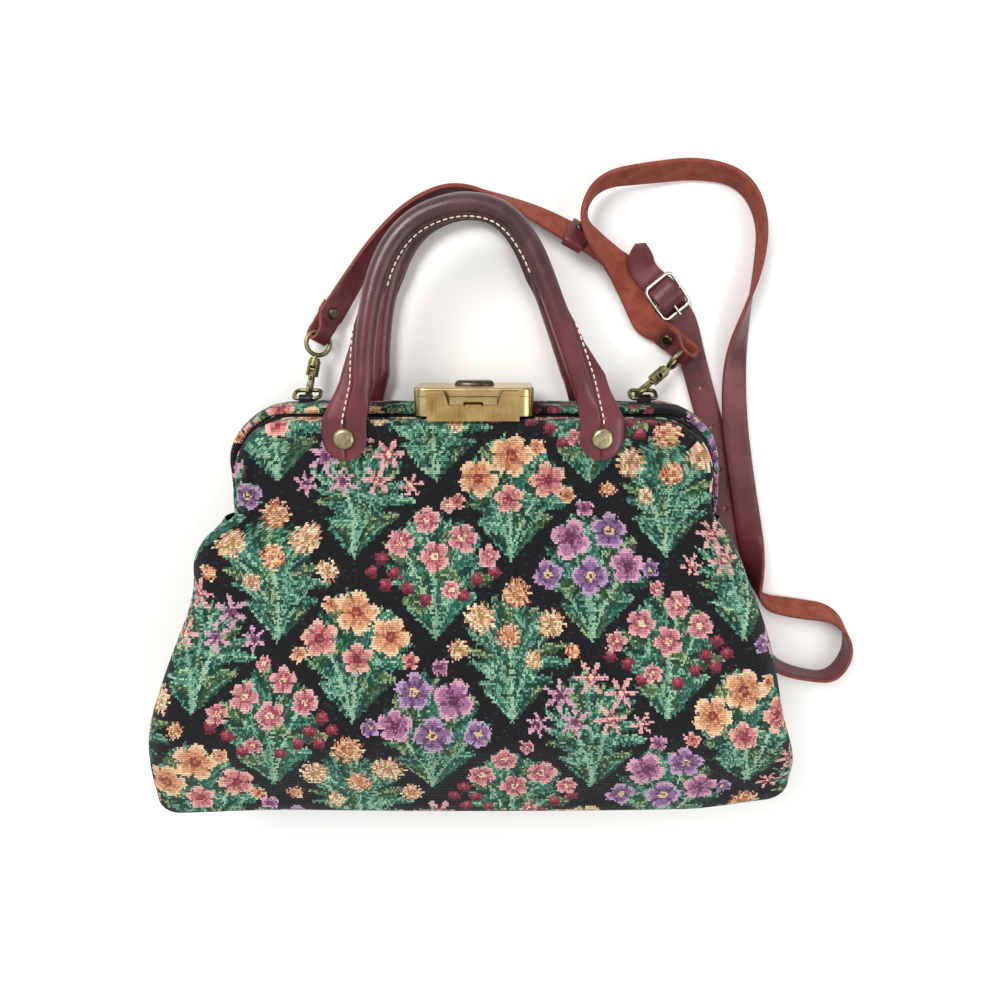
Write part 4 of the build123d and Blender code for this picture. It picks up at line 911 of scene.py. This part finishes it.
# Handles
# Rolled leather handles over a rope core; each end opens flat into the tab that is riveted on,
# with the seam sewn beside the roll in thick pale thread.
def handle_leather_material():
    material, tree, shader = new_material("handle_leather")
    place = object_coords(tree)
    up = add_node(tree, "ShaderNodeSeparateXYZ", {0: place}).outputs[1]
    tint = ranged(tree, noise(tree, place, 50.0, 4.0), 0.3, 0.7)
    legs = mixed(tree, tint, linear("#4A1A20"), linear("#692C34"))
    arch = mixed(tree, tint, linear("#341C1E"), linear("#4C2C2E"))
    polish = ranged(tree, noise(tree, place, 150.0, 3.0), 0.3, 0.7, 0.22, 0.36)
    grain = add_node(
        tree, "ShaderNodeTexVoronoi", {"Vector": place, "Scale": 1000.0}, feature="DISTANCE_TO_EDGE"
    ).outputs[0]
    creases = bump(tree, noise(tree, place, 60.0, 5.0), 0.0007, 0.45)
    plug(tree, shader, {
        "Base Color": mixed(tree, ranged(tree, up, 0.085, 0.135), legs, arch),
        "Roughness": polish,
        "Specular IOR Level": 0.5,
        "Normal": bump(tree, grain, 0.0001, 0.5, creases),
    })
    return material


def thread_material():
    material, tree, shader = new_material("linen_thread")
    place = object_coords(tree)
    tint = noise(tree, place, 700.0, 2.0)
    plug(tree, shader, {
        "Base Color": mixed(tree, tint, linear("#CDB9A6"), linear("#F1E6DA")),
        "Roughness": 0.75,
        "Normal": bump(tree, noise(tree, place, 3500.0, 2.0), 0.0001, 0.6),
    })
    return material


handle_leather = handle_leather_material()
linen_thread = thread_material()


def tube_faces(rows, columns):
    """Faces of a closed tube, with a cap at each end."""
    faces = grid_faces(rows, columns, wrap=True)
    faces.append(tuple(reversed(range(columns))))
    faces.append(tuple(range((rows - 1) * columns, rows * columns)))
    return faces


def unit(v):
    return v / np.linalg.norm(v)


def spline_points(rows, resolution):
    """Points of a NURBS spline through plain 3-D control points, as Blender evaluates it."""
    curve = bpy.data.curves.new("route", "CURVE")
    curve.dimensions = "3D"
    curve.resolution_u = resolution
    spline = curve.splines.new("NURBS")
    spline.points.add(len(rows) - 1)
    for point, row in zip(spline.points, rows):
        point.co = (row[0], row[1], row[2], 1.0)
    spline.order_u = 3
    spline.use_endpoint_u = True
    holder = bpy.data.objects.new("route", curve)
    bpy.context.scene.collection.objects.link(holder)
    bpy.context.view_layer.update()
    mesh = bpy.data.meshes.new_from_object(holder)
    points = np.array([v.co[:] for v in mesh.vertices])
    bpy.data.objects.remove(holder)
    bpy.data.meshes.remove(mesh)
    bpy.data.curves.remove(curve)
    return points


TAB_X = 65.0
TAB_Y = 40.0
TAB_RADIUS = 11.3
FOLD_Y = 50.0
GRIP_ROUTE = [(-53.9, 68), (-53, 99), (-38, 141), (-5, 155.5), (24, 146), (43.5, 97), (53.7, 68)]
ROLL_ANGLES = list(range(21, 166, 12)) + [171, 175, 185, 189] + list(range(195, 340, 12))
FLANGE_ANGLES = [-17, -12, -8, -3, 3, 8, 12, 17]
FLANGE_SHARES = [0.0, 0.35, 0.7, 0.93, 0.93, 0.7, 0.35, 0.0]


def tab_station(y, level, thick):
    """The flat leather between the tab's round end and the fold."""
    half = math.sqrt(max(0.3, TAB_RADIUS ** 2 - min(0.0, y - TAB_Y) ** 2))
    roll = half * 0.46
    return dict(x=-(TAB_X - half + roll), y=y, n=level, side=(-1.0, 0.0), roll=roll, deep=thick,
                square=16.0, reach=2 * half - roll, flat=thick, seat=0.0, open=1.0, welt=0.0)


def handle_stations(tuck, lower, level, thick, radius):
    """Sections from one tab up its leg, round the roll and down to the other tab."""
    stations = []
    for y in (28.9, 29.1, 29.6, 30.5, 32.0, 34.0, 37.0, 40.0, 43.0, 45.5, 47.0, 48.0, 49.0):
        stations.append(tab_station(y, level, thick))
    for y in (50.0, 51.0, 52.0, 53.0, 54.5, 56.5, 59.0, 62.0, 65.0):
        t = float(ease(y, 48.0, 68.0))
        roll = 5.2 + (radius - 5.2) * t
        x = 59.0 + (54.3 - tuck - 59.0) * (y - 49.0) / 19.0
        beyond = 12.0 - 0.27 * (y - 50.0)
        stations.append(dict(x=-x, y=y, n=level * (1 - t), side=(-1.0, 0.0), roll=roll,
                             deep=thick + (radius * 0.96 - thick) * t,
                             square=16.0 - 14.0 * min(1.0, 1.6 * t),
                             reach=roll + beyond, flat=thick * (1 - 0.15 * t),
                             seat=-1.2 * t, open=1.0, welt=0.0))
    leg = list(stations)
    points = []
    for x, y in GRIP_ROUTE:
        inward = tuck * min(1, abs(x) / 30) * (1 if x > 0 else -1)
        points.append((x - inward, y - lower * max(0, (y - 68) / 90), 0))
    path = spline_points(points, 14)
    ways = np.gradient(path, axis=0)
    for point, way in zip(path, ways):
        way = unit(way)
        side = (-way[1], way[0])
        y = point[1] + lower * max(0, (point[1] - 68) / 90)
        beyond = max(2.2, 12.0 - 0.27 * (y - 50.0))
        shut = float(ease(y, 88, 104))
        stations.append(dict(x=point[0] + side[0] * 0.4, y=point[1] + side[1] * 0.4, n=0.0, side=side,
                             roll=radius, deep=radius * 0.97, square=2.0, reach=radius + beyond,
                             flat=thick * 0.85, seat=-1.2, open=1.0 - shut,
                             welt=1.7 * float(ease(y, 108, 122))))
    for first in reversed(leg):
        far = dict(first)
        far["x"] = -first["x"]
        far["side"] = (1.0, 0.0)
        stations.append(far)
    return stations


def handle_profile(s):
    """(across, above) round one section: the roll with its inner welt, then the sewn flange."""
    power = 2.0 / s["square"]
    spots = []
    for angle in ROLL_ANGLES + FLANGE_ANGLES:
        c = math.cos(math.radians(angle))
        d = math.sin(math.radians(angle))
        across = s["roll"] * math.copysign(abs(c) ** power, c)
        above = s["deep"] * math.copysign(abs(d) ** power, d)
        if angle in (175, 185):
            across -= s["welt"]
            above -= 0.5 * s["welt"]
        if angle in (171, 189):
            across -= 0.12 * s["welt"]
            above -= 0.3 * s["welt"]
        spots.append([across, above])
    first = len(ROLL_ANGLES)
    for k, share in enumerate(FLANGE_SHARES):
        out = s["roll"] * 0.9 + (s["reach"] - s["roll"] * 0.9) * share
        if k in (3, 4):
            out = s["reach"] - 0.05
        low = s["seat"] + (-1 if k < 4 else 1) * s["flat"] * (0.55 if k in (3, 4) else 1.0)
        spot = spots[first + k]
        spot[0] += (out - spot[0]) * s["open"]
        spot[1] += (low - spot[1]) * s["open"]
    return spots


def handle_leather_piece(name, stations, lay):
    points = []
    flat = []
    for s in stations:
        for across, above in handle_profile(s):
            x = s["x"] + s["side"][0] * across
            y = s["y"] + s["side"][1] * across
            points.append(lay(x, y, s["n"] + above))
            flat.append((x, y))
    faces = tube_faces(len(stations), len(ROLL_ANGLES) + len(FLANGE_ANGLES))
    return outward(surface(name, points, faces, handle_leather, flat))


STITCH_STEP = 3.3
STITCH_LONG = 2.5
THREAD_RADIUS = 0.42


def stitched(name, lines):
    """Short capsules of thread laid in a row along lines of (point, up)."""
    points = []
    faces = []
    for line in lines:
        spots = np.array([p for p, up in line])
        ups = np.array([up for p, up in line])
        gaps = np.linalg.norm(np.diff(spots, axis=0), axis=1)
        run = np.concatenate([[0.0], np.cumsum(gaps)])
        for at in np.arange(STITCH_STEP / 2, run[-1] - STITCH_LONG / 2, STITCH_STEP):
            a = np.array([np.interp(at - STITCH_LONG / 2, run, spots[:, k]) for k in range(3)])
            b = np.array([np.interp(at + STITCH_LONG / 2, run, spots[:, k]) for k in range(3)])
            up = unit(np.array([np.interp(at, run, ups[:, k]) for k in range(3)]))
            way = unit(b - a)
            side = unit(np.cross(way, up))
            up = np.cross(side, way)
            start = len(points)
            for share, fat in ((0.0, 0.45), (0.14, 0.9), (0.5, 1.0), (0.86, 0.9), (1.0, 0.45)):
                middle = a + (b - a) * share - up * THREAD_RADIUS * 0.9 * abs(share - 0.5) ** 2 * 4
                for k in range(8):
                    turn = k * math.pi / 4
                    spoke = side * math.cos(turn) + up * math.sin(turn)
                    points.append(middle + spoke * THREAD_RADIUS * fat)
            faces += grid_faces(5, 8, wrap=True, start=start)
            faces.append(tuple(start + k for k in range(8)))
            faces.append(tuple(start + 32 + k for k in range(8)))
    return outward(surface(name, points, faces, linen_thread))


def seam_lines(stations, lay):
    left = []
    right = []
    inner = []
    up = lay(0, 0, 1) - lay(0, 0, 0)
    for s in stations:
        top = s["n"] + s["seat"] + s["flat"] + 0.1
        out = s["roll"] + 1.0 + 0.5 * s["open"]
        spot = (s["x"] + s["side"][0] * out, s["y"] + s["side"][1] * out)
        if s["open"] > 0.35 and s["y"] > 46.9:
            (left if s["x"] < 0 else right).append((lay(spot[0], spot[1], top), up))
        if s["welt"] > 1.0 and -60 < s["x"] < 34:
            out = s["roll"] + 0.7
            spot = (s["x"] - s["side"][0] * out, s["y"] - s["side"][1] * out)
            inner.append((lay(spot[0], spot[1], 0.35), up))
    return [left, list(reversed(right)), inner]


def front_lay(x, y, n):
    tilt = math.radians(5)
    run = max(0.0, y - FOLD_Y)
    return np.array([x, min(y, FOLD_Y) + run * math.cos(tilt), 53.2 - run * math.sin(tilt) + n])


def back_lay(x, y, n):
    return np.array([x, y, 6.2 - n])


front_stations = handle_stations(0.0, 0.0, -1.15, 1.5, 5.2)
front_leather = handle_leather_piece("front_handle_leather", front_stations, front_lay)
front_seams = seam_lines(front_stations, front_lay)
front_thread = stitched("front_handle_stitches", front_seams)
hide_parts("front_handle", "front_handle_tabs")
for piece in (front_leather, front_thread):
    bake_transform(piece)

back_stations = handle_stations(1.5, -3.0, 2.9, 1.1, 5.0)
back_leather = handle_leather_piece("back_handle_leather", back_stations, back_lay)
back_seams = seam_lines(back_stations, back_lay)
back_thread = stitched("back_handle_stitches", back_seams)
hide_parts("back_handle", "back_handle_tabs")
for piece in (back_leather, back_thread):
    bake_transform(piece)


# Shoulder strap
# Two flat straps of bridle leather, waxed on one side and left as suede on the other. They meet in
# a buckle, fold round the eyes of the snap hooks, and lie in the curves that stiff leather keeps.
def strap_material():
    """Bridle leather: the attribute side is 1 on the waxed face and 0 on the suede."""
    material, tree, shader = new_material("strap_leather")
    place = object_coords(tree)
    side = add_node(tree, "ShaderNodeAttribute", attribute_name="side").outputs["Fac"]
    smooth_tint = noise(tree, place, 45.0, 4.0)
    waxed = ranged(tree, smooth_tint, 0.35, 0.7)
    smooth_dark = mixed(tree, waxed, linear("#4C1B20"), linear("#6C2D33"))
    suede_tint = noise(tree, place, 160.0, 6.0, 0.7)
    suede = mixed(tree, ranged(tree, suede_tint, 0.3, 0.72), linear("#6E2E22"), linear("#944B38"))
    gloss = ranged(tree, noise(tree, place, 120.0, 3.0), 0.3, 0.7, 0.30, 0.46)
    rough = add_node(tree, "ShaderNodeMix", {0: side, 2: 0.93, 3: gloss}, data_type="FLOAT").outputs[0]
    grain = add_node(
        tree, "ShaderNodeTexVoronoi", {"Vector": place, "Scale": 1100.0}, feature="DISTANCE_TO_EDGE"
    ).outputs[0]
    fibres = noise(tree, place, 1500.0, 5.0, 0.7)
    creases = noise(tree, place, 70.0, 4.0)
    height = add_node(tree, "ShaderNodeMix", {0: side, 2: fibres, 3: grain}, data_type="FLOAT")
    height = height.outputs[0]
    first = bump(tree, creases, 0.0006, 0.5)
    plug(tree, shader, {
        "Base Color": mixed(tree, side, suede, smooth_dark),
        "Roughness": rough,
        "Specular IOR Level": 0.42,
        "Normal": bump(tree, height, 0.00012, 0.6, first),
    })
    return material


strap_leather = strap_material()
STRAP_WIDTH = 14.0
STRAP_LEATHER = 2.2
SHORT_ROUTE = [
    (-75.3, 103.9, 8.8, 40),
    (-66.0, 118.5, 6.3, 52),
    (-50.5, 139.5, 6.9, 64),
    (-32.0, 158.0, 7.2, 78),
    (-9.0, 167.5, 7.1, 90),
    (17.0, 159.5, 8.1, 105),
    (41.0, 148.0, 8.6, 138),
    (67.1, 134.3, 8.6, 138),
    (83.0, 123.5, 1.8, 175),
    (95.6, 119.4, 1.2, 180),
    (100.6, 114.5, 3.2, 180),
    (103.5, 111.0, 5.2, 180),
]
LONG_ROUTE = [
    (87.0, 136.5, 15.0, 0),
    (87.6, 127.5, 10.0, 0),
    (92.8, 120.9, 5.8, 0),
    (98.0, 116.9, 5.4, 0),
    (101.6, 113.3, 10.9, 0),
    (106.6, 107.1, 10.9, 0),
    (108.9, 104.3, 2.0, 0),
    (115.3, 97.4, 1.2, 0),
    (120.5, 79.0, 1.2, 0),
    (128.8, 53.5, 1.2, 0),
    (136.4, 32.0, 1.2, 0),
    (142.6, 5.0, 1.2, 0),
    (148.5, -25.0, 1.2, 0),
    (157.5, -66.0, 1.2, 0),
    (167.0, -90.0, 6.3, -38),
    (180.0, -107.5, 7.6, -75),
    (200.0, -114.0, 7.1, -90),
    (218.0, -115.5, 7.1, -92),
    (227.0, -95.0, 7.1, -94),
    (215.5, -73.5, 7.0, -112),
    (190.5, -70.5, 6.4, -126),
    (166.5, -65.5, 7.7, -105),
    (163.0, -42.0, 8.9, -55),
    (159.0, -18.0, 4.4, -5),
    (151.5, 15.0, 4.4, 0),
    (145.5, 46.0, 4.4, 0),
    (143.4, 78.0, 4.9, 25),
    (147.5, 103.0, 7.5, 65),
    (152.5, 126.0, 7.1, 88),
    (152.8, 150.0, 7.1, 92),
    (141.0, 169.5, 7.1, 105),
    (117.4, 175.0, 6.5, 125),
    (91.5, 172.3, 8.0, 125),
    (65.0, 168.5, 11.6, 110),
    (55.0, 152.5, 15.7, 98),
    (62.5, 138.0, 18.5, 128),
    (75.5, 126.9, 11.0, 165),
    (83.4, 115.9, 4.2, 180),
    (89.3, 104.6, 3.5, 182),
    (94.1, 94.3, 4.6, 198),
    (103.8, 90.8, 6.4, 222),
]


def route_frames(route):
    """(point, side, normal, half width, half thickness) along a leaning band."""
    points = spline_points([row[:3] for row in route], 12)
    leans = spline_points([(row[3] / 100, 0, 0) for row in route], 12)[:, 0] * 100
    ways = np.gradient(points, axis=0)
    frames = []
    for point, way, lean in zip(points, ways, leans):
        way = unit(way)
        right = unit(np.array([way[1], -way[0], 0]))
        turn = math.radians(lean)
        smooth = np.array([0, 0, math.cos(turn)]) + right * math.sin(turn)
        smooth = unit(smooth - way * smooth.dot(way))
        frames.append([point, np.cross(smooth, way), smooth, STRAP_WIDTH / 2, STRAP_LEATHER / 2])
    return frames


def turned_frames(origin, along, across, route, like, width, leather):
    """Frames of a stretch that stays in one plane, with the sides of the frame that it joins."""
    flat = spline_points([(x, y, 0) for x, y in route], 8)
    points = [origin + along * p[0] + across * p[1] for p in flat]
    side = unit(np.cross(along, across))
    if side.dot(like[1]) < 0:
        side = -side
    ways = np.gradient(np.array(points), axis=0)
    frames = []
    for i, (point, way) in enumerate(zip(points, ways)):
        share = i / (len(points) - 1)
        half = width[0] + (width[1] - width[0]) * share
        thick = leather[0] + (leather[1] - leather[0]) * share
        frames.append([point, side, unit(np.cross(unit(way), side)), half, thick])
    if len(frames) > 1 and frames[0][2].dot(like[2]) < 0:
        for f in frames:
            f[2] = -f[2]
    return frames


def band_profile(half, thick):
    edge = 0.45 * min(1.0, thick)
    face = [-half + edge, -half * 0.55, 0.0, half * 0.55, half - edge]
    points = [(x, thick, 1.0) for x in face]
    points += [(half - edge * 0.3, thick - edge * 0.3, 0.7), (half, thick - edge, 0.35)]
    points += [(half, -thick + edge, 0.2), (half - edge * 0.3, -thick + edge * 0.3, 0.1)]
    points += [(x, -thick, 0.0) for x in reversed(face)]
    points += [(-half + edge * 0.3, -thick + edge * 0.3, 0.1), (-half, -thick + edge, 0.2)]
    points += [(-half, thick - edge, 0.35), (-half + edge * 0.3, thick - edge * 0.3, 0.7)]
    return points


def set_side(piece, shares):
    layer = piece.data.attributes.new("side", "FLOAT", "POINT")
    layer.data.foreach_set("value", np.array(shares, dtype=np.float32))


def band(name, frames, material):
    points = []
    sides = []
    cloth = []
    run = 0.0
    last = frames[0][0]
    for point, side, normal, half, thick in frames:
        run += np.linalg.norm(point - last)
        last = point
        for x, y, share in band_profile(half, thick):
            points.append(point + side * x + normal * y)
            sides.append(share)
            cloth.append((run, x))
    piece = surface(name, points, tube_faces(len(frames), len(band_profile(1, 1))), material, cloth)
    set_side(piece, sides)
    for polygon in piece.data.polygons[-2:]:
        polygon.use_smooth = False
    return outward(piece)


def cut(piece, cutter):
    work = piece.modifiers.new("cut", "BOOLEAN")
    work.operation = "DIFFERENCE"
    work.object = cutter
    work.solver = "EXACT"
    bpy.context.view_layer.update()
    mesh = bpy.data.meshes.new_from_object(piece.evaluated_get(bpy.context.evaluated_depsgraph_get()))
    piece.modifiers.remove(work)
    old = piece.data
    piece.data = mesh
    bpy.data.meshes.remove(old)
    bpy.data.objects.remove(cutter)


LEFT_EYE = np.array([-84.407, 91.410, 8.705])
RIGHT_EYE = np.array([115.292, 80.776, 8.705])
BUCKLE = np.array([104.1, 110.2, 6.8])
BUCKLE_WAY = np.array([0.6204, -0.7607, -0.1908])
BUCKLE_SIDE = np.array([0.7749, 0.6320, 0.0])
FOLD = [
    (15.4, 1.1), (11.5, 1.1), (8.0, 1.1), (3.5, 4.7), (-4.6, 4.7), (-4.6, 0.0),
    (-4.6, -4.7), (3.5, -4.7), (8.0, -1.15), (12.0, -1.15), (16.5, -1.15),
]

HALF_WIDTH = STRAP_WIDTH / 2
HALF_LEATHER = STRAP_LEATHER / 2
EYE_HALF = 4.3


def hook_fold(eye, way, up, like):
    """A strap's end: narrowed to the eye of its hook, folded round it and riveted to itself."""
    frames = turned_frames(
        eye, way, up, FOLD, like, (HALF_WIDTH, HALF_WIDTH), (HALF_LEATHER, HALF_LEATHER)
    )
    for f in frames:
        reach = np.dot(f[0] - eye, way)
        f[3] = EYE_HALF + (HALF_WIDTH - EYE_HALF) * min(1.0, max(0.0, (reach - 2.5) / 8))
    return frames


short_main = route_frames(SHORT_ROUTE)
short_way = unit(np.array([0.5494, 0.8341, -0.0499]))
short_up = unit(np.array([0.5582, -0.3219, 0.7647]))
short_fold = hook_fold(LEFT_EYE, short_way, short_up, short_main[0])
BAR_LOOP = [(-1.2, -1.6), (0.4, -1.9), (1.7, -1.2), (1.9, 0.3), (1.2, 1.6), (-0.4, 1.8), (-1.9, 1.2)]
bar_up = unit(np.cross(BUCKLE_WAY, BUCKLE_SIDE))
short_end = turned_frames(
    BUCKLE, BUCKLE_WAY, bar_up, BAR_LOOP, short_main[-1], (5.7, 5.7), (0.6, 0.55)
)
THINNED = 14
for i, f in enumerate(short_main[-THINNED:]):
    f[3] = HALF_WIDTH - 1.3 * min(1.0, i / 5)
    f[4] = HALF_LEATHER - 0.5 * i / (THINNED - 1)
short_frames = list(reversed(short_fold)) + short_main[1:] + short_end
strap_short = band("strap_short_leather", short_frames, strap_leather)
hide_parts("strap_short")
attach(strap_short, "bag")

long_main = route_frames(LONG_ROUTE)
long_way = unit(np.array([-0.7831, 0.6139, -0.0995]))
long_up = unit(np.array([0.4720, 0.4825, -0.7378]))
long_fold = hook_fold(RIGHT_EYE, long_way, long_up, long_main[-1])
long_frames = long_main[:-1] + long_fold
ROUNDED_TIP = 8
for i in range(ROUNDED_TIP):
    long_frames[i][3] = HALF_WIDTH * math.sqrt(max(0.18, 1 - (1 - i / ROUNDED_TIP) ** 2 * 0.9))
strap_long = band("strap_long_leather", long_frames, strap_leather)
HOLES = [(118.9, 84.7), (126.2, 61.3), (134.2, 38.2), (140.4, 14.5), (145.45, -9.5)]
HOLE_RADIUS = 1.25
punch = bmesh.new()
for x, y in HOLES:
    spot = min(long_main, key=lambda f: math.hypot(f[0][0] - x, f[0][1] - y) + 0.1 * f[0][2])[0]
    bmesh.ops.create_cone(
        punch, cap_ends=True, segments=24, depth=8 * MM,
        radius1=HOLE_RADIUS * MM, radius2=HOLE_RADIUS * MM,
        matrix=Matrix.Translation(Vector(spot * MM)),
    )
punch_mesh = bpy.data.meshes.new("punch")
punch.to_mesh(punch_mesh)
punch.free()
cut(strap_long, link_object("punch", punch_mesh, None))
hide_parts("strap_long")
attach(strap_long, "bag")


# Keeper
# A riveted loop of strap leather that slides on the short strap and holds the end of the long one.
KEEPER = np.array([54.02, 141.17, 8.57])
KEEPER_ACROSS = np.array([-0.3454, -0.6580, 0.6691])
KEEPER_DOWN = np.array([-0.3110, -0.5925, -0.7431])
KEEPER_WAY = np.array([0.8854, -0.4648, 0.0])
KEEPER_ROWS = [
    (0.0, -5.0), (0.0, -1.7), (0.0, 1.7), (0.0, 5.0), (0.35, 5.4), (1.25, 5.4), (1.6, 5.0),
    (1.6, 0.0), (1.6, -5.0), (1.25, -5.4), (0.35, -5.4),
]
KEEPER_STEPS = 48
keeper_points = []
for inset, run in KEEPER_ROWS:
    for k in range(KEEPER_STEPS):
        a = 2 * math.pi * k / KEEPER_STEPS
        c = math.cos(a)
        s = math.sin(a)
        x = (9.1 - inset) * math.copysign(abs(c) ** 0.4, c)
        y = (3.2 - inset) * math.copysign(abs(s) ** 0.5, s)
        keeper_points.append(KEEPER + KEEPER_ACROSS * x + KEEPER_DOWN * y + KEEPER_WAY * run)
keeper_faces = grid_faces(len(KEEPER_ROWS), KEEPER_STEPS, wrap=True)
last_row = (len(KEEPER_ROWS) - 1) * KEEPER_STEPS
for k in range(KEEPER_STEPS):
    n = (k + 1) % KEEPER_STEPS
    keeper_faces.append((last_row + k, last_row + n, n, k))
keeper = outward(surface("strap_keeper_leather", keeper_points, keeper_faces, strap_leather))
set_side(keeper, [1.0] * len(keeper_points))
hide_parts("strap_keeper")
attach(keeper, "bag")


# Metal fittings
# Brushed brass on the lock, aged brass on hooks, rings and rivets, nickel on the buckle, and
# blackened steel for the frame halves, their pins and the washers under the rivets.
def metal_material(name, low, high, rough, streak, bite):
    material, tree, shader = new_material(name)
    place = object_coords(tree)
    stretched = add_node(tree, "ShaderNodeVectorMath", {0: place, 1: streak}, operation="MULTIPLY")
    lines = noise(tree, stretched.outputs[0], 1.0, 3.0, 0.6)
    patches = noise(tree, place, 90.0, 3.0, 0.5)
    tone = add_node(tree, "ShaderNodeMath", {0: lines, 1: patches}, operation="ADD").outputs[0]
    plug(tree, shader, {
        "Base Color": mixed(tree, ranged(tree, tone, 0.72, 1.28), linear(low), linear(high)),
        "Metallic": 1.0,
        "Roughness": ranged(tree, patches, 0.3, 0.7, rough[0], rough[1]),
        "Normal": bump(tree, lines, 0.00006, bite),
    })
    return material


def finished_in(material, *names):
    for name in names:
        nodes[name].data.materials.clear()
        nodes[name].data.materials.append(material)


lock_brass = metal_material("brushed_brass", "#A2824A", "#C9AA70", (0.24, 0.34), (2400, 160, 160), 0.4)
case_brass = metal_material("satin_brass", "#B79C66", "#DCC591", (0.22, 0.34), (300, 2200, 300), 0.35)
aged_brass = metal_material("aged_brass", "#4B452F", "#9C9468", (0.24, 0.44), (500, 500, 500), 0.3)
rivet_brass = metal_material("rivet_brass", "#857C58", "#CFC8A2", (0.22, 0.38), (400, 400, 400), 0.3)
button_brass = metal_material("dark_brass", "#3E382C", "#6E6552", (0.26, 0.42), (400, 400, 400), 0.3)
nickel = metal_material("polished_nickel", "#B9B4AA", "#EDE8DF", (0.10, 0.22), (300, 300, 300), 0.2)
frame_steel = metal_material("blackened_steel", "#1F1D1F", "#3B3839", (0.35, 0.5), (900, 300, 300), 0.4)
spring_steel = metal_material("spring_steel", "#6E6C70", "#9A989C", (0.25, 0.4), (900, 300, 300), 0.3)
finished_in(lock_brass, "lock_front_plate")
finished_in(case_brass, "lock_body", "lock_cap")
finished_in(button_brass, "lock_button", "keeper_rivet", "strap_rivet_left", "strap_rivet_right")
finished_in(spring_steel, "lock_spring")
finished_in(nickel, "buckle_frame", "buckle_tongue")
finished_in(
    rivet_brass, "front_rivet_left", "front_rivet_right", "back_rivet_left", "back_rivet_right"
)
finished_in(
    frame_steel, "back_frame", "front_frame", "hinge_pin_left", "hinge_pin_right",
    "front_washer_left", "front_washer_right", "back_washer_left", "back_washer_right",
)
for hand in ("left", "right"):
    finished_in(
        aged_brass, hand + "_ring", hand + "_hook_body", hand + "_hook_eye", hand + "_hook_gate",
        hand + "_hook_pin",
    )


# Floor and light
# A pale seamless table top, with one broad soft lamp above the handles and a weaker one at the
# right; the world gives the rest of the light.
def floor_material():
    material, tree, shader = new_material("floor_paper")
    plug(tree, shader, {"Base Color": linear("#F4F3F1"), "Roughness": 0.9})
    return material


floor_mesh = bpy.data.meshes.new("floor")
floor_mesh.from_pydata([(-3, -3, 0), (3, -3, 0), (3, 3, 0), (-3, 3, 0)], [], [(0, 1, 2, 3)])
floor = link_object("floor", floor_mesh, floor_material())
floor.location.z = -0.0003


def area_light(name, place, target, size, power, tint=(1, 1, 1)):
    data = bpy.data.lights.new(name, "AREA")
    data.shape = "DISK"
    data.size = size
    data.energy = power
    data.color = tint
    lamp = bpy.data.objects.new(name, data)
    lamp.location = place
    lamp.rotation_euler = (Vector(target) - Vector(place)).to_track_quat("-Z", "Y").to_euler()
    bpy.context.scene.collection.objects.link(lamp)


area_light("key", (-0.55, 0.75, 1.1), (0, 0, 0), 0.7, 14.0)
area_light("fill", (0.9, -0.2, 0.9), (0, 0, 0), 1.0, 5.0)
world = bpy.data.worlds.new("world")
bpy.context.scene.world = world
world.use_nodes = True
world.node_tree.nodes["Background"].inputs[0].default_value = linear("#FFFFFF")
world.node_tree.nodes["Background"].inputs[1].default_value = 0.75
bpy.context.scene.view_settings.view_transform = "Standard"
